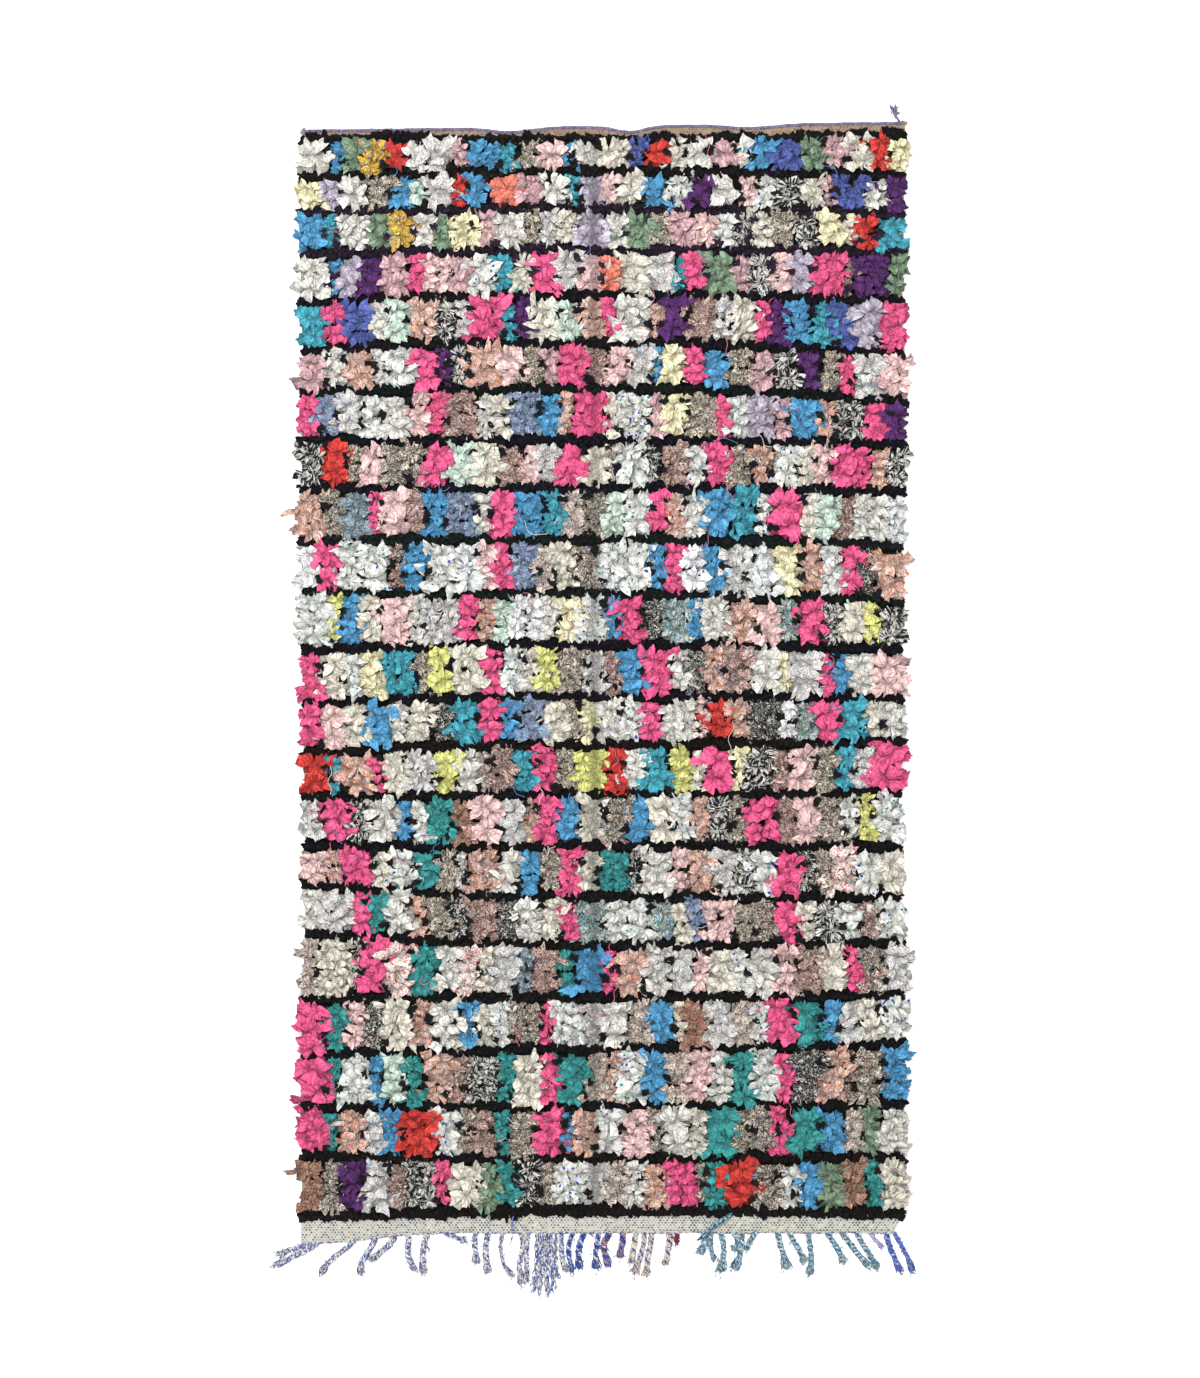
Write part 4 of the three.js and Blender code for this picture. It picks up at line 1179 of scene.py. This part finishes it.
WEAVE_RELIEF = 0.5  # how far the wefts of the foot rise and sink
WEB_COLUMNS = 240
SELVAGE = 2  # columns of the web that are bare along each side
SHADE_UNDER_PILE, HEADER, FOOT, BACK, BARE_SIDE = range(5)  # the web's materials; the first, the top under the pile, is near-black as painted shade for the gaps between the rags


def web(rng, materials):
    """The woven ground: a thin closed sheet, near-black under the pile as painted shade in the gaps between
    the rags, and bare along its foot and top.
    """
    share = np.linspace(0, 1, WEB_COLUMNS + 1)
    x = (share - 0.5) * WEB_WIDTH
    rows = [black_row(row, x) for row in range(ROWS)]
    y = np.array([top_edge(x), (top_edge(x) + rows[0]) / 2, *rows, foot_edge(x)])
    flat = np.stack([stretched(share, y), y], axis=-1)
    top = np.concatenate([flat, np.full(y.shape + (1,), WEB_THICK)], axis=-1)
    under = np.concatenate([flat, np.full(y.shape + (1,), 0.2)], axis=-1)
    cloth = Cloth(rng)
    cloth.lay(top[:3], HEADER)
    # The top under the pile is near-black: painted shade where the gaps between the rags show the web.
    cloth.lay(top[2:-1, SELVAGE : WEB_COLUMNS + 1 - SELVAGE], SHADE_UNDER_PILE)
    cloth.lay(top[2:-1, : SELVAGE + 1], BARE_SIDE)
    cloth.lay(top[2:-1, -SELVAGE - 1 :], BARE_SIDE)
    cloth.lay(under[::-1], BACK)
    for edge in (np.s_[0, ::-1], np.s_[-1, :], np.s_[:, 0], np.s_[::-1, -1]):
        cloth.lay(np.stack([top[edge], under[edge]]), FOOT)
    cloth.lay(foot_weave(), FOOT)
    return cloth.build("web", materials)


def foot_weave():
    """The bare flat weave along the foot, whose wefts stand up a little over and under the warps."""
    share = np.linspace(0, 1, int(WEB_WIDTH / WEAVE_ACROSS * 2) + 1)
    down = np.linspace(0, 1, 26)[:, None]
    x = (share - 0.5) * WEB_WIDTH
    y = black_row(ROWS - 1, x) * (1 - down) + foot_edge(x) * down
    x = stretched(share, y)
    weft = np.cos(math.pi * y / WEAVE_DOWN) * np.cos(math.pi * x / WEAVE_ACROSS)
    z = WEB_THICK + 0.1 + WEAVE_RELIEF * weft
    z[0] = WEB_THICK - 0.5
    return np.stack([x, y, z], axis=-1)


# ---- Stage -----------------------------------------------------------------------------------

PHOTO_SIZE = (1200, 1378)
PHOTO_SCALE = 2.23  # millimetres for each pixel
PHOTO_WEB = (602.5, 132)  # the web's middle, and its top left corner's height, in the photo's pixels
LENS, SENSOR = 85, 36
# In metres, watts and degrees:
SCALE_HEIGHT = 0.012  # the photo's scale holds this far above the floor, half way up the pile
FLOOR_REACH = 30
SKY = 1.43
SOFTBOX_SIZE, SOFTBOX_POWER = 3.2, 278
SOFTBOX_PLACE, SOFTBOX_TILT = (-1.5, 2.6, 4.6), (-30, -16, 0)


def place_of(px, py):
    """A pixel of the photo's frame, as a place on the rug in metres."""
    x = (px - PHOTO_WEB[0]) * PHOTO_SCALE + WEB_CENTRE[0]
    y = WEB_LENGTH / 2 + WEB_CENTRE[1] - (py - PHOTO_WEB[1]) * PHOTO_SCALE
    return x * MM, y * MM



def stage():
    """The camera straight above the rug, the floor and the light."""
    scene = bpy.context.scene
    camera = bpy.data.cameras.new("camera")
    camera.lens, camera.sensor_width = LENS, SENSOR
    camera.clip_end = 100
    rig = bpy.data.objects.new("camera", camera)
    x, y = place_of(PHOTO_SIZE[0] / 2, PHOTO_SIZE[1] / 2)
    rig.location = (x, y, PHOTO_SIZE[1] * PHOTO_SCALE * MM * LENS / SENSOR + SCALE_HEIGHT)
    scene.collection.objects.link(rig)
    scene.camera = rig

    mesh = bpy.data.meshes.new("floor")
    corners = [(FLOOR_REACH * x, FLOOR_REACH * y, 0) for x, y in ((-1, -1), (1, -1), (1, 1), (-1, 1))]
    mesh.from_pydata(corners, [], [(0, 1, 2, 3)])
    floor = bpy.data.objects.new("floor", mesh)
    scene.collection.objects.link(floor)
    paint = bpy.data.materials.new("floor")
    paint.use_nodes = True
    shader = paint.node_tree.nodes["Principled BSDF"]
    shader.inputs["Base Color"].default_value = (1.0, 1.0, 1.0, 1)
    shader.inputs["Roughness"].default_value = 0.9
    mesh.materials.append(paint)

    world = bpy.data.worlds.new("world")
    world.use_nodes = True
    sky = world.node_tree.nodes["Background"]
    sky.inputs["Color"].default_value = (1, 1, 1, 1)
    sky.inputs["Strength"].default_value = SKY
    scene.world = world
    lamp = bpy.data.lights.new("softbox", "AREA")
    lamp.shape, lamp.size, lamp.energy = "DISK", SOFTBOX_SIZE, SOFTBOX_POWER
    box = bpy.data.objects.new("softbox", lamp)
    box.location = SOFTBOX_PLACE
    box.rotation_euler = [math.radians(angle) for angle in SOFTBOX_TILT]
    scene.collection.objects.link(box)
    scene.view_settings.view_transform = "Standard"


# ---- The rug ---------------------------------------------------------------------------------

rng = np.random.default_rng(20)
fabrics = make_fabrics()
names = list(fabrics)
rags = named("rag_", fabrics)
blacks = named("rag_black_", {
    i: plain(shaded(tint, 1.08), sheen=0.0, crease=5, depth=1.2, tone=0.4, facets=0.6)
    for i, (_, tint) in enumerate(ROW_TINTS, 1)
})
threads = named("thread_", {
    "white": yarn((214, 210, 202)), "rose": yarn((206, 110, 140)), "blue": yarn((96, 120, 180)),
})
yarns = named("yarn_", {
    name: yarn(*inks, share=share, size=size) for name, (*inks, share, size) in YARNS.items()
})
foot_cloth = ((194, 191, 175), (62, 72, 102), (54, 78, 94))
bands = named("foot_", {"band": weave(*foot_cloth, strong=1.9)})
cords = named("yarn_", {
    "cord": yarn((118, 110, 146), (164, 154, 172), (84, 78, 112), share=0.38, size=7),
    "cord_tan": yarn((140, 128, 134), (100, 92, 134), share=0.46, size=7),
    "header": yarn((168, 146, 116), (118, 100, 86), (196, 180, 152), share=0.4),
})
web_looks = named("web_", {
    # Near-black: painted shade where the web shows between the rags.
    "ground": plain((18, 17, 18)),
    "header": weave((148, 128, 106), (66, 56, 60), (72, 60, 56), strong=1.3),
    "foot": weave(*foot_cloth, strong=1.9),
    "back": weave((176, 166, 150), (96, 84, 88), (84, 92, 104)),
    "selvage": weave((172, 162, 148), (110, 98, 96), (110, 98, 96)),
})

chosen = choose_fabrics(rng, names)
on_rug = pile(rng, chosen, rags, names)
on_rug += [black_rows(rng, blacks), black_spots(rng, blacks), rim_ends(rng, chosen, names, rags, blacks)]
on_rug += [loose_threads(rng, threads)]
ground = web(rng, web_looks)
fringe_piece = fringe(rng, yarns + bands)
cord_piece = top_cord(rng, cords)
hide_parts("rug")
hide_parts("warp_fringe")
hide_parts("edge_cord")
stage()
